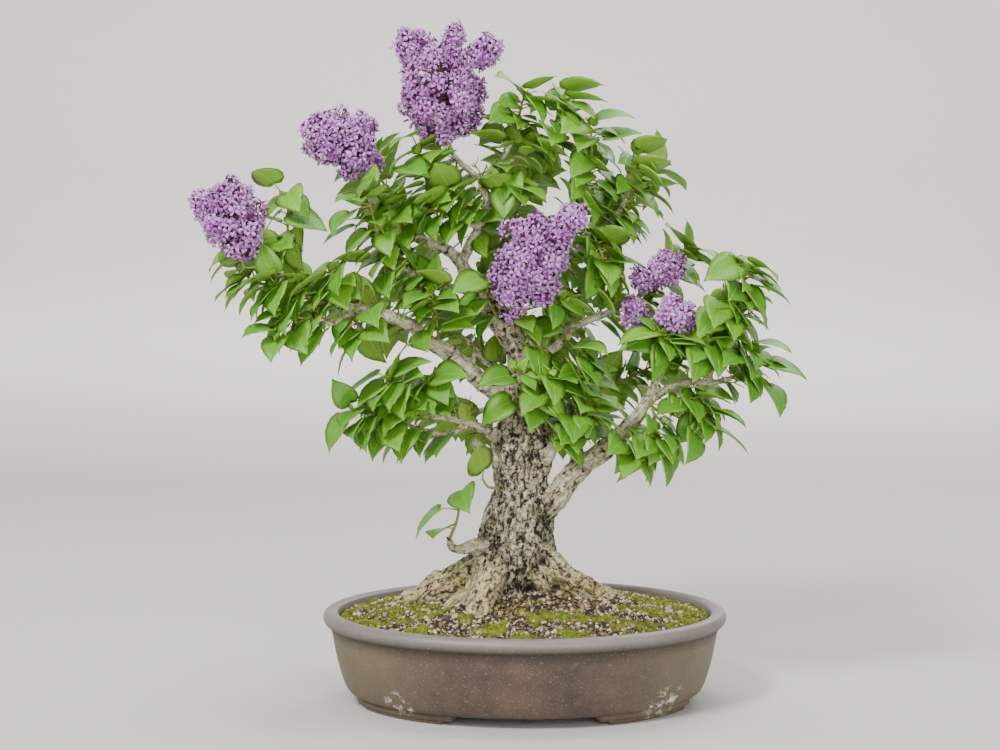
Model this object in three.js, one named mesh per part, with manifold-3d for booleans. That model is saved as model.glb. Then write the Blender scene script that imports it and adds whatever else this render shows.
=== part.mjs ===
// Lilac bonsai in a shallow oval pot, in bloom.
// Millimetres, +Z up. The origin is on the ground under the middle of the whole thing.
// +X is to the right as seen from the front, and +Y points away from the viewer.

import * as THREE from 'three';
import { mergeVertices } from 'three/addons/utils/BufferGeometryUtils.js';
import Module from 'manifold-3d';

const wasm = await Module();
wasm.setup();

// Driving sizes
const POT_LENGTH = 408;
const POT_WIDTH = 304;
const POT_HEIGHT = 95;
const POT_SHIFT = 26;
const POT_SIDES = 20;
const FOOT_HEIGHT = 9.8;
const HOLE_RADIUS = 14;
const HOLE_SPREAD = 85;
const SCREEN_SIDE = 38;
const SCREEN_THICKNESS = 0.8;
const SOIL_EDGE = 86;
const SOIL_RISE = 28;
const LEAF_LENGTH = 40;
const LEAF_THICKNESS = 0.8;
const SHOOT_RADIUS = 1.7;
const GAP = 0.35;

// The front view that the hand-chosen places are read from: columns and rows, 1 mm each at the
// tree's middle, seen from eye level a little above it
const VIEW = { column: 500, row: 375, across: 1, up: 332, distance: 2600, tilt: THREE.MathUtils.degToRad(6.8) };

// Place of a point seen at a column and row, at a depth in mm behind the tree's middle
function seen([column, row, depth]) {
  const right = column - VIEW.column;
  const above = VIEW.row - row;
  const eye = new THREE.Vector3(
    VIEW.across,
    -VIEW.distance * Math.cos(VIEW.tilt),
    VIEW.up + VIEW.distance * Math.sin(VIEW.tilt),
  );
  const onPlane = new THREE.Vector3(
    VIEW.across + right,
    above * Math.sin(VIEW.tilt),
    VIEW.up + above * Math.cos(VIEW.tilt),
  );
  const share = (depth - eye.y) / (onPlane.y - eye.y);
  return eye.lerp(onPlane, share);
}

// Seeded draws between 0 and 1
function seededDraws(seed) {
  let state = seed >>> 0;
  return () => {
    state = (state + 0x6d2b79f5) >>> 0;
    let mixed = Math.imul(state ^ (state >>> 15), state | 1);
    mixed = (mixed + Math.imul(mixed ^ (mixed >>> 7), mixed | 61)) ^ mixed;
    return ((mixed ^ (mixed >>> 14)) >>> 0) / 4294967296;
  };
}

// Solids

function solidFrom(points, faces) {
  const vertProperties = new Float32Array(points.length * 3);
  points.forEach((point, index) => point.toArray(vertProperties, index * 3));
  const triVerts = new Uint32Array(faces.flat());
  return new wasm.Manifold(new wasm.Mesh({ numProp: 3, vertProperties, triVerts }));
}

// Solid of one of the library's own closed geometries
function solidOf(geometry) {
  geometry.deleteAttribute('normal');
  geometry.deleteAttribute('uv');
  const merged = mergeVertices(geometry);
  const vertProperties = new Float32Array(merged.attributes.position.array);
  const triVerts = new Uint32Array(merged.index.array);
  return new wasm.Manifold(new wasm.Mesh({ numProp: 3, vertProperties, triVerts }));
}

function geometryFrom(solid) {
  const mesh = solid.getMesh();
  const geometry = new THREE.BufferGeometry();
  geometry.setAttribute('position', new THREE.BufferAttribute(mesh.vertProperties, 3));
  geometry.setIndex(new THREE.BufferAttribute(mesh.triVerts, 1));
  return geometry;
}

function join(solids) {
  return wasm.Manifold.union(solids);
}

// Seams leave slivers. An edge shorter than SHORT is welded to a point, and a triangle lower than
// FLAT gives its long edge up for the edge that crosses it. Facets of the wood and the soil that
// stand out by less than SMOOTHING are merged first.
const SHORT = 0.03;
const FLAT = 0.006;
const SMOOTHING = 0.12;
const SOIL_SMOOTHING = 0.35;
const CLEANING_PASSES = 4;

function heightOf([one, two, three], points) {
  const corners = [points[one], points[two], points[three]];
  const lengths = corners.map((corner, index) => corner.distanceTo(corners[(index + 1) % 3]));
  const longest = Math.max(...lengths);
  const doubleArea = corners[1].clone().sub(corners[0]).cross(corners[2].clone().sub(corners[0])).length();
  return { height: doubleArea / longest, long: lengths.indexOf(longest) };
}

function weldShortEdges(points, faces) {
  const home = points.map((_, index) => index);
  const homeOf = (index) => {
    let at = index;
    while (home[at] !== at) at = home[at];
    return at;
  };
  faces.forEach((face) => face.forEach((from, turn) => {
    const to = face[(turn + 1) % 3];
    if (points[from].distanceTo(points[to]) >= SHORT) return;
    const [low, high] = [homeOf(from), homeOf(to)].sort((one, other) => one - other);
    home[high] = low;
  }));
  return faces
    .map((face) => face.map(homeOf))
    .filter(([one, two, three]) => one !== two && two !== three && three !== one);
}

function flipFlatFaces(points, faces) {
  const owner = new Map();
  faces.forEach((face, index) => face.forEach((from, turn) => {
    owner.set(`${from}-${face[(turn + 1) % 3]}`, index);
  }));
  const touched = new Set();
  faces.forEach((face, index) => {
    const { height, long } = heightOf(face, points);
    if (height >= FLAT || touched.has(index)) return;
    const [from, to, apex] = [face[long], face[(long + 1) % 3], face[(long + 2) % 3]];
    const beyond = owner.get(`${to}-${from}`);
    if (beyond === undefined || touched.has(beyond)) return;
    const far = faces[beyond].find((corner) => corner !== from && corner !== to);
    if (owner.has(`${apex}-${far}`) || owner.has(`${far}-${apex}`)) return;
    faces[index] = [from, far, apex];
    faces[beyond] = [far, to, apex];
    touched.add(index);
    touched.add(beyond);
  });
  return faces;
}

function withoutSlivers(solid) {
  const mesh = solid.getMesh();
  const points = [];
  for (let index = 0; index < mesh.vertProperties.length; index += 3) {
    points.push(new THREE.Vector3().fromArray(mesh.vertProperties, index));
  }
  let faces = [];
  for (let index = 0; index < mesh.triVerts.length; index += 3) {
    faces.push([...mesh.triVerts.slice(index, index + 3)]);
  }
  for (let pass = 0; pass < CLEANING_PASSES; pass += 1) {
    faces = flipFlatFaces(points, weldShortEdges(points, faces));
  }
  const used = [...new Set(faces.flat())];
  const place = new Map(used.map((index, order) => [index, order]));
  const corners = used.map((index) => points[index]);
  return solidFrom(corners, faces.map((face) => face.map((index) => place.get(index))));
}

// Whether each edge of a solid's mesh belongs to just two triangles, with close points taken as one
function isSound(solid) {
  const { vertProperties, triVerts } = solid.getMesh();
  const labels = Array.from({ length: vertProperties.length / 3 }, (_, index) => (
    [...vertProperties.slice(3 * index, 3 * index + 3)].map((value) => value.toFixed(3)).join()
  ));
  const edges = new Set();
  for (let index = 0; index < triVerts.length; index += 3) {
    for (let turn = 0; turn < 3; turn += 1) {
      const edge = `${labels[triVerts[index + turn]]} ${labels[triVerts[index + ((turn + 1) % 3)]]}`;
      if (edges.has(edge)) return false;
      edges.add(edge);
    }
  }
  return true;
}

function largestPiece(solid) {
  const pieces = solid.decompose();
  pieces.sort((one, other) => other.volume() - one.volume());
  return pieces[0];
}

// Closed skin over rings of equal count, from a first pole to a last pole
function skin(rings, firstPole, lastPole) {
  const count = rings[0].length;
  const points = [firstPole, ...rings.flat(), lastPole];
  const last = points.length - 1;
  const faces = [];
  for (let ring = 0; ring < rings.length; ring += 1) {
    const here = 1 + ring * count;
    for (let side = 0; side < count; side += 1) {
      const next = (side + 1) % count;
      if (ring === 0) faces.push([0, here + next, here + side]);
      if (ring === rings.length - 1) {
        faces.push([last, here + side, here + next]);
      } else {
        const above = here + count;
        faces.push([here + side, here + next, above + next]);
        faces.push([here + side, above + next, above + side]);
      }
    }
  }
  return solidFrom(points, faces);
}

// Closed tapered rod through its points. Each radius may be a number, or [across, front to back].
function rod(points, radii, sides, extra = 0, ridge = 0) {
  const along = points.map((point, index) => {
    const before = points[Math.max(index - 1, 0)];
    const after = points[Math.min(index + 1, points.length - 1)];
    return after.clone().sub(before).normalize();
  });
  let across = new THREE.Vector3(1, 0, 0);
  if (Math.abs(along[0].x) > 0.8) across = new THREE.Vector3(0, 1, 0);
  const rings = points.map((point, index) => {
    const tangent = along[index];
    across = across.clone().addScaledVector(tangent, -across.dot(tangent)).normalize();
    const deep = tangent.clone().cross(across);
    const [wide, thick] = [radii[index]].flat().length === 2 ? radii[index] : [radii[index], radii[index]];
    const middle = point.clone();
    if (index === 0) middle.addScaledVector(tangent, -extra);
    if (index === points.length - 1) middle.addScaledVector(tangent, extra);
    const ring = [];
    for (let side = 0; side < sides; side += 1) {
      const angle = (side / sides) * 2 * Math.PI;
      const swell = 1 + ridge * Math.sin(3 * angle + 1.3 * index) + ridge * Math.cos(5 * angle - index);
      const spoke = middle.clone();
      spoke.addScaledVector(across, (wide * swell + extra) * Math.cos(angle));
      spoke.addScaledVector(deep, (thick * swell + extra) * Math.sin(angle));
      ring.push(spoke);
    }
    return ring;
  });
  const poles = [rings[0], rings[rings.length - 1]].map((ring) => {
    const pole = new THREE.Vector3();
    ring.forEach((spoke) => pole.addScaledVector(spoke, 1 / ring.length));
    return pole;
  });
  return skin(rings, poles[0], poles[1]);
}

// Radii that run evenly from a first to a last value
function taper(count, first, last) {
  return Array.from({ length: count }, (_, index) => first + ((last - first) * index) / (count - 1));
}

// Pot: profile points are [inset from the lip's widest line, height]

const POT_OUTSIDE = [
  [33, FOOT_HEIGHT], [25, 13.5], [19.6, 26], [13.4, 49], [8.6, 78.5], [2.5, 81.5], [0, 87.5], [2.5, 93],
  [9, POT_HEIGHT], [15, 93], [16, 90],
];
const POT_INSIDE = [[18.5, 80], [23, 50], [32, 26], [44, 20]];
const POT_FLOOR = POT_INSIDE[POT_INSIDE.length - 1][1];

function ovalRing(inset, height) {
  const ring = [];
  for (let side = 0; side < POT_SIDES; side += 1) {
    const angle = (side / POT_SIDES) * 2 * Math.PI;
    ring.push(new THREE.Vector3(
      (POT_LENGTH / 2 - inset) * Math.cos(angle),
      (POT_WIDTH / 2 - inset) * Math.sin(angle),
      height,
    ));
  }
  return ring;
}

// One cloud foot: a curved bar under the wall, with ends that step in towards the ground
const FOOT_STEPS = [
  { from: 17, to: 65, outer: 32, inner: 66, bottom: 4.5, top: FOOT_HEIGHT + 2 },
  { from: 20, to: 61, outer: 35, inner: 62, bottom: 0, top: 5.5 },
];
const FOOT_FACETS = 4;

function footLayer({ from, to, outer, inner, bottom, top }, quarter) {
  const outline = new THREE.Shape();
  const corners = [];
  for (let step = 0; step <= FOOT_FACETS; step += 1) {
    const angle = THREE.MathUtils.degToRad(from + ((to - from) * step) / FOOT_FACETS);
    corners.push([outer, angle]);
  }
  for (let step = FOOT_FACETS; step >= 0; step -= 1) {
    const angle = THREE.MathUtils.degToRad(from + ((to - from) * step) / FOOT_FACETS);
    corners.push([inner, angle]);
  }
  const spots = corners.map(([inset, angle]) => new THREE.Vector2(
    quarter.x * (POT_LENGTH / 2 - inset) * Math.cos(angle),
    quarter.y * (POT_WIDTH / 2 - inset) * Math.sin(angle),
  ));
  outline.setFromPoints(spots);
  const geometry = new THREE.ExtrudeGeometry(outline, { depth: top - bottom, bevelEnabled: false });
  return solidOf(geometry.translate(0, 0, bottom));
}

function disc(x, y, radius, bottom, top) {
  const rings = [bottom, top].map((height) => Array.from({ length: 12 }, (_, side) => {
    const angle = (side / 12) * 2 * Math.PI;
    return new THREE.Vector3(x + radius * Math.cos(angle), y + radius * Math.sin(angle), height);
  }));
  return skin(rings, new THREE.Vector3(x, y, bottom), new THREE.Vector3(x, y, top));
}

function potSolid() {
  const rings = [...POT_OUTSIDE, ...POT_INSIDE].map(([inset, height]) => ovalRing(inset, height));
  const shell = skin(rings, new THREE.Vector3(0, 0, FOOT_HEIGHT), new THREE.Vector3(0, 0, POT_FLOOR));
  const quarters = [[1, 1], [-1, 1], [-1, -1], [1, -1]].map(([x, y]) => ({ x, y }));
  const feet = quarters.flatMap((quarter) => FOOT_STEPS.map((step) => footLayer(step, quarter)));
  const holes = [-1, 1].map((side) => disc(side * HOLE_SPREAD, 0, HOLE_RADIUS, -5, POT_FLOOR + 5));
  return join([shell, ...feet]).subtract(join(holes));
}

// Drainage screen: a square of coarse plastic net
const SCREEN_WINDOWS = 3;
const SCREEN_BAR = 3;

function screenGeometry() {
  const plate = solidOf(new THREE.BoxGeometry(SCREEN_SIDE, SCREEN_SIDE, SCREEN_THICKNESS));
  const side = (SCREEN_SIDE - SCREEN_BAR * (SCREEN_WINDOWS + 1)) / SCREEN_WINDOWS;
  const windows = [];
  for (let column = 0; column < SCREEN_WINDOWS; column += 1) {
    for (let row = 0; row < SCREEN_WINDOWS; row += 1) {
      const [x, y] = [column, row].map((place) => (place - (SCREEN_WINDOWS - 1) / 2) * (side + SCREEN_BAR));
      windows.push(solidOf(new THREE.BoxGeometry(side, side, 3 * SCREEN_THICKNESS).translate(x, y, 0)));
    }
  }
  return geometryFrom(plate.subtract(join(windows)));
}

// Soil: fills the pot to just below the lip and rises to the trunk, with a gently lumpy top

function soilHeight(x, y) {
  const spread = (x / (POT_LENGTH / 2 - 16)) ** 2 + (y / (POT_WIDTH / 2 - 16)) ** 2;
  const lumps = 1.1 * Math.sin(x / 13 + 1) * Math.cos(y / 11) + 0.7 * Math.sin(x / 7 - y / 9);
  return SOIL_EDGE + SOIL_RISE * Math.max(0, 1 - spread) ** 1.3 + lumps * Math.min(1, 3 * (1 - spread));
}

function soilSolid(cutter) {
  const clear = POT_INSIDE.map(([inset, height]) => [inset + 0.6, height + 1.6]).reverse();
  const rings = [...clear, [17.5, SOIL_EDGE]].map(([inset, height]) => ovalRing(inset, height));
  [0.84, 0.62, 0.36].forEach((share) => {
    rings.push(ovalRing(17.5, 0).map((spot) => new THREE.Vector3(
      spot.x * share,
      spot.y * share,
      soilHeight(spot.x * share, spot.y * share),
    )));
  });
  const top = new THREE.Vector3(0, 0, soilHeight(0, 0));
  const filling = skin(rings, new THREE.Vector3(0, 0, POT_FLOOR + 1.6), top);
  const trimmed = largestPiece(filling.translate([POT_SHIFT, 0, 0]).subtract(cutter));
  return withoutSlivers(trimmed.simplify(SOIL_SMOOTHING));
}

// Wood. Points are [column, row, depth] in the front view.

const TRUNK = [
  { at: [512, 611, 0], wide: 27, deep: 26 },
  { at: [515, 562, 0], wide: 37, deep: 35 },
  { at: [516, 540, 0], wide: 39, deep: 36 },
  { at: [518.5, 520, 0], wide: 36, deep: 33 },
  { at: [521, 500, 0], wide: 29, deep: 28 },
  { at: [521.5, 480, 0], wide: 27, deep: 26 },
  { at: [522, 460, 0], wide: 31, deep: 28 },
  { at: [522, 443, 0], wide: 32, deep: 28 },
  { at: [523.5, 424, 0], wide: 24.5, deep: 24 },
  { at: [521.5, 402, 0], wide: 19, deep: 19 },
  { at: [521, 360, 0], wide: 14, deep: 14 },
  { at: [515, 341, 0], wide: 14, deep: 14 },
  { at: [501, 320, 0], wide: 14.5, deep: 14 },
  { at: [487, 304, 0], wide: 13.5, deep: 13 },
  { at: [466, 274, 2], wide: 8, deep: 8 },
  { at: [460, 258, 3], wide: 6.2, deep: 6.2 },
];

const ROOTS = [
  { at: [[494, 556, -6], [470, 575, -8], [445, 587, -4], [418, 597, 4], [400, 604, 10], [384, 613, 14]],
    radii: [24, 19, 17, 11, 8, 4] },
  { at: [[498, 556, -18], [489, 583, -36], [482, 603, -52], [477, 617, -64], [472, 629, -74]],
    radii: [18, 15, 12.5, 10, 5] },
  { at: [[528, 543, -14], [556, 566, -18], [585, 589, -10], [609, 602, 0], [628, 612, 6]],
    radii: [17, 12.5, 11, 8.5, 4] },
  { at: [[524, 566, -16], [545, 584, -20], [566, 597, -14], [582, 608, -14]],
    radii: [14, 10.5, 9, 4] },
  { at: [[540, 560, 12], [572, 583, 18], [600, 592, 24], [624, 600, 30]],
    radii: [16, 11, 8, 4] },
  { at: [[500, 560, -16], [472, 590, -26], [452, 606, -34], [438, 619, -38]],
    radii: [14, 9.5, 7, 3.5] },
];

// Roots out of sight behind the trunk: compass angle from +X, and length
const BACK_ROOTS = [
  { angle: 62, reach: 92 },
  { angle: 98, reach: 100 },
  { angle: 138, reach: 104 },
];

const LIMBS = {
  left: { at: [[516, 402, 0], [487, 387, -6], [458, 361, -14], [430, 341, -22], [406, 323, -30], [381, 314, -36],
    [355, 309, -40]], radii: [10, 5.2], sides: 6 },
  leftEnd: { at: [[358, 309, -40], [322, 302, -48], [293, 288, -52], [268, 264, -55]], radii: [4.6, 2.6] },
  leftFork: { at: [[374, 313, -37], [350, 316, -50], [335, 323, -58], [320, 324, -64]], radii: [4, 2.6] },
  brokenTwig: { at: [[470, 374, -10], [474, 353, -14]], radii: [3.4, 2.4] },
  leaderLeft: { at: [[461, 264, 3], [448, 251, 4], [424, 241, 8], [408, 235, 10]], radii: [6, 4], sides: 5 },
  upperLeftStem: { at: [[411, 237, 9], [400, 224, 10], [385, 205, 8]], radii: [3.6, 2.6] },
  thinLeft: { at: [[472, 294, 0], [446, 285, -10], [424, 277, -16], [402, 268, -20], [388, 258, -24]],
    radii: [3.6, 2.4] },
  leaderRight: { at: [[461, 266, 3], [471, 242, 0], [477, 233, -2], [487, 200, -6], [482, 186, -6], [481, 175, -4]],
    radii: [5.4, 3.6], sides: 6 },
  topLeft: { at: [[482, 182, -5], [456, 158, -4], [448, 141, -3]], radii: [3.3, 2.6] },
  topRight: { at: [[482, 182, -5], [500, 164, 2], [515, 132, 6]], radii: [3.2, 2.4] },
  topFarRight: { at: [[500, 165, 2], [530, 150, 8], [550, 136, 6]], radii: [2.9, 2.4] },
  thinUpper: { at: [[479, 228, -2], [453, 217, -12], [435, 207, -20]], radii: [2.9, 2.3] },
  lowerLeft: { at: [[505, 438, -6], [486, 429, -12], [467, 422, -18], [447, 418, -28], [430, 416, -36],
    [414, 412, -44]], radii: [4.4, 2.5] },
  lowerLeftFork: { at: [[468, 423, -18], [447, 435, -26], [424, 430, -34], [408, 425, -42]], radii: [3.2, 2.4] },
  leftStub: { at: [[502, 463, -8], [485, 452, -18], [472, 441, -24]], radii: [8, 4.4], sides: 5 },
  rightStub: { at: [[534, 464, -10], [549, 453, -22], [553, 441, -26]], radii: [8, 4.6], sides: 6 },
  rightTwig: { at: [[552, 446, -24], [560, 439, -30], [568, 436, -34]], radii: [2.9, 2.3] },
  right: { at: [[528, 530, 0], [551, 502, -8], [573, 475, -16], [601, 451, -22], [617, 438, -26], [630, 425, -28],
    [641, 411, -30], [649, 398, -30]], radii: [14, 5.6], sides: 7 },
  rightUp: { at: [[646, 403, -30], [655, 383, -34], [662, 372, -38], [667, 346, -42]], radii: [4, 2.4] },
  rightOut: { at: [[645, 405, -30], [665, 390, -32], [690, 382, -36], [710, 383, -38], [732, 378, -40]],
    radii: [5, 2.8] },
  rightRise: { at: [[708, 383, -38], [718, 352, -44], [726, 322, -48], [735, 297, -50]], radii: [2.9, 2.3] },
  rightVertical: { at: [[578, 474, -14], [575, 440, -10], [570, 415, -8], [575, 398, -8]], radii: [7, 3.4],
    sides: 6 },
  middleRight: { at: [[520, 374, 0], [536, 361, 2], [547, 352, 4], [563, 341, 8], [574, 326, 10], [602, 315, 14],
    [625, 308, 16], [650, 300, 16]], radii: [6.4, 2.8], sides: 6 },
  centreStem: { at: [[530, 364, -4], [533, 348, -16], [527, 332, -28], [519, 318, -38]], radii: [3.2, 2.4] },
  upperRight: { at: [[484, 306, 0], [520, 286, 14], [560, 260, 22], [593, 236, 22], [613, 220, 18], [625, 200, 12],
    [629, 185, 8]], radii: [5.8, 2.6], sides: 6 },
  upperRightUp: { at: [[560, 260, 22], [572, 225, 14], [585, 195, 6], [589, 180, 2]], radii: [3.4, 2.4] },
  rightBloomStem: { at: [[661, 375, -38], [673, 353, -34], [672, 338, -38]], radii: [2.8, 2.4] },
  basalStub: { at: [[496, 547, -16], [475, 545, -28], [463, 549, -32], [453, 548, -34], [449, 539, -34]],
    radii: [5, 2.6] },
  backRight: { at: [[522, 404, 4], [532, 372, 40], [548, 340, 66], [566, 312, 84]], radii: [6, 2.8] },
  backLeft: { at: [[515, 392, 4], [492, 366, 42], [462, 338, 68], [432, 312, 86]], radii: [6, 2.8] },
  backTop: { at: [[484, 303, 4], [492, 268, 36], [506, 232, 62], [520, 200, 78]], radii: [4.6, 2.6] },
  backLowRight: { at: [[532, 454, 6], [556, 428, 44], [586, 404, 70], [618, 384, 84]], radii: [6.4, 2.8] },
  backLowLeft: { at: [[510, 446, 6], [478, 428, 44], [446, 412, 70]], radii: [5.2, 2.8] },
  backFarLeft: { at: [[436, 345, -20], [410, 326, 24], [370, 308, 56], [330, 298, 78]], radii: [4.4, 2.6] },
  backFarRight: { at: [[563, 259, 22], [600, 226, 50], [625, 206, 70]], radii: [3.6, 2.5] },
  backUpLeft: { at: [[428, 242, 8], [410, 222, 36], [396, 206, 60]], radii: [3.6, 2.5] },
};

function backRoot({ angle, reach }, extra) {
  const bearing = THREE.MathUtils.degToRad(angle);
  const heart = seen([515, 575, 0]);
  const stops = [0, 0.36, 0.62, 0.85, 1];
  const radii = [17, 12.5, 9, 6.5, 4];
  const above = [16, 7, 2, -2, -7];
  const points = stops.map((stop, index) => {
    const x = heart.x + stop * reach * Math.cos(bearing);
    const y = stop * reach * Math.sin(bearing);
    return new THREE.Vector3(x, y, soilHeight(x - POT_SHIFT, y) + above[index]);
  });
  return rod(points, radii, 5, extra);
}

function trunkSolid(extra = 0) {
  const stem = rod(
    TRUNK.map(({ at }) => seen(at)),
    TRUNK.map(({ wide, deep }) => [wide, deep]),
    10,
    extra,
    0.035,
  );
  const roots = ROOTS.map(({ at, radii }) => rod(at.map(seen), radii, 5, extra));
  const behind = BACK_ROOTS.map((root) => backRoot(root, extra));
  const limbs = Object.values(LIMBS).map(({ at, radii, sides = 4 }) => rod(
    at.map(seen),
    taper(at.length, radii[0], radii[1]),
    sides,
    extra,
  ));
  return join([stem, ...roots, ...behind, ...limbs]);
}

// Flower panicles. Each is a stalk and lobes, and a lobe is an egg-shaped body covered by florets:
// rows of four-petalled stars that stand out of it, larger than life, with deep gaps between them.

const PETAL_REACH = 0.88;
const PETALS = [[PETAL_REACH, 0], [0, PETAL_REACH], [-PETAL_REACH, 0], [0, -PETAL_REACH]];
const VALLEY = 0.7;

function lobeSolid({ from, to, radius, rows, columns, full = 0.5 }, draw) {
  const start = seen(from);
  const end = seen(to);
  const axis = end.clone().sub(start);
  const half = axis.length() / 2;
  const middle = start.clone().add(end).multiplyScalar(0.5);
  axis.normalize();
  const side = new THREE.Vector3(0.3, 1, 0.2).cross(axis).normalize();
  const other = axis.clone().cross(side);

  // Place on the egg: row and column count from the base, height is the share of the full radius
  const onEgg = (row, column, height) => {
    const slope = Math.PI * (0.1 + 0.8 * (row / rows) ** (Math.log(0.5) / Math.log(full)));
    const turn = ((column + row / 2) / columns) * 2 * Math.PI;
    const place = middle.clone().addScaledVector(axis, -Math.cos(slope) * (half + 2) * (0.3 + 0.7 * height));
    place.addScaledVector(side, radius * height * Math.sin(slope) * Math.cos(turn));
    return place.addScaledVector(other, radius * height * Math.sin(slope) * Math.sin(turn));
  };

  const points = [];
  const faces = [];
  const corner = (row, column) => row * columns + (((column % columns) + columns) % columns);
  for (let row = 0; row <= rows; row += 1) {
    for (let column = 0; column < columns; column += 1) points.push(onEgg(row, column, VALLEY));
  }
  for (let row = 0; row < rows; row += 1) {
    for (let column = 0; column < columns; column += 1) {
      const height = 0.93 + 0.12 * draw();
      const dimple = points.length;
      points.push(onEgg(row + 0.5, column + 0.5, height - 0.07));
      PETALS.forEach(([u, v]) => points.push(onEgg(row + 0.5 + v / 2, column + 0.5 + u / 2, height)));
      const petal = (turn) => dimple + 1 + (turn % 4);
      const square = [
        corner(row + 1, column + 1),
        corner(row + 1, column),
        corner(row, column),
        corner(row, column + 1),
      ];
      for (let quarter = 0; quarter < 4; quarter += 1) {
        faces.push([dimple, petal(quarter), square[quarter]]);
        faces.push([dimple, square[quarter], petal(quarter + 1)]);
        faces.push([square[quarter], square[(quarter + 1) % 4], petal(quarter + 1)]);
      }
    }
  }
  const poles = [0, rows].map((row) => {
    points.push(middle.clone().addScaledVector(axis, (row === 0 ? -1 : 1) * (half + 2)));
    return points.length - 1;
  });
  for (let column = 0; column < columns; column += 1) {
    faces.push([poles[0], corner(0, column + 1), corner(0, column)]);
    faces.push([poles[1], corner(rows, column), corner(rows, column + 1)]);
  }
  return solidFrom(points, faces);
}

const PANICLES = {
  panicle_top: {
    stalk: [[448, 141, -3], [445, 120, -5]],
    lobes: [
      { from: [440, 140, -4], to: [442, 32, -6], radius: 45, rows: 6, columns: 8, full: 0.6 },
      { from: [414, 66, -12], to: [400, 26, -14], radius: 15, rows: 2, columns: 4 },
      { from: [474, 66, 6], to: [501, 36, 6], radius: 15, rows: 2, columns: 4 },
    ],
  },
  panicle_upper_left: {
    stalk: [[385, 205, 8], [374, 172, 4], [360, 155, 0]],
    lobes: [
      { from: [375, 168, 2], to: [303, 116, -6], radius: 28, rows: 4, columns: 5 },
      { from: [350, 142, 6], to: [376, 114, 6], radius: 15, rows: 2, columns: 4 },
    ],
  },
  panicle_far_left: {
    stalk: [[268, 264, -55], [248, 244, -56]],
    lobes: [
      { from: [244, 260, -54], to: [221, 176, -60], radius: 30, rows: 4, columns: 5 },
      { from: [216, 222, -62], to: [193, 190, -64], radius: 13, rows: 2, columns: 4 },
    ],
  },
  panicle_centre: {
    stalk: [[519, 318, -38], [520, 300, -48]],
    lobes: [
      { from: [511, 308, -46], to: [549, 214, -56], radius: 35, rows: 6, columns: 7 },
      { from: [554, 240, -56], to: [585, 200, -58], radius: 15, rows: 2, columns: 4 },
    ],
  },
  panicle_right_upper: {
    stalk: [[650, 300, 16], [658, 284, -4], [663, 273, -14]],
    lobes: [
      { from: [654, 282, -10], to: [680, 252, -20], radius: 19, rows: 3, columns: 5 },
      { from: [652, 282, -8], to: [628, 276, -14], radius: 11, rows: 2, columns: 4 },
    ],
  },
  panicle_right_lower: {
    stalk: [[672, 338, -38], [670, 322, -46]],
    lobes: [
      { from: [659, 326, -46], to: [690, 302, -52], radius: 20, rows: 3, columns: 5 },
    ],
  },
  panicle_right_spent: {
    stalk: [[628, 308, 16], [634, 314, -6]],
    lobes: [
      { from: [642, 326, -18], to: [624, 300, -18], radius: 14, rows: 3, columns: 4 },
    ],
  },
};

function panicleSolid({ stalk, lobes }, index, wood) {
  const draw = seededDraws(900 + index);
  const stem = rod(stalk.map(seen), taper(stalk.length, 2.4, 2.2), 5, 0.01);
  const heads = lobes.map((lobe) => lobeSolid(lobe, draw));
  return withoutSlivers(largestPiece(join([stem, ...heads]).subtract(wood)));
}

// Leafy shoots. A shoot's points are [column, row, depth], and it starts in the wood that bears it.
// A leaf is [column and row of the blade's base, column and row of its tip]: what its length
// doesn't show in the front view goes towards the viewer, or away on the tree's far side.
// pairs is how many more leaf pairs stand along the shoot by the rule of opposite leaves.

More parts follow.
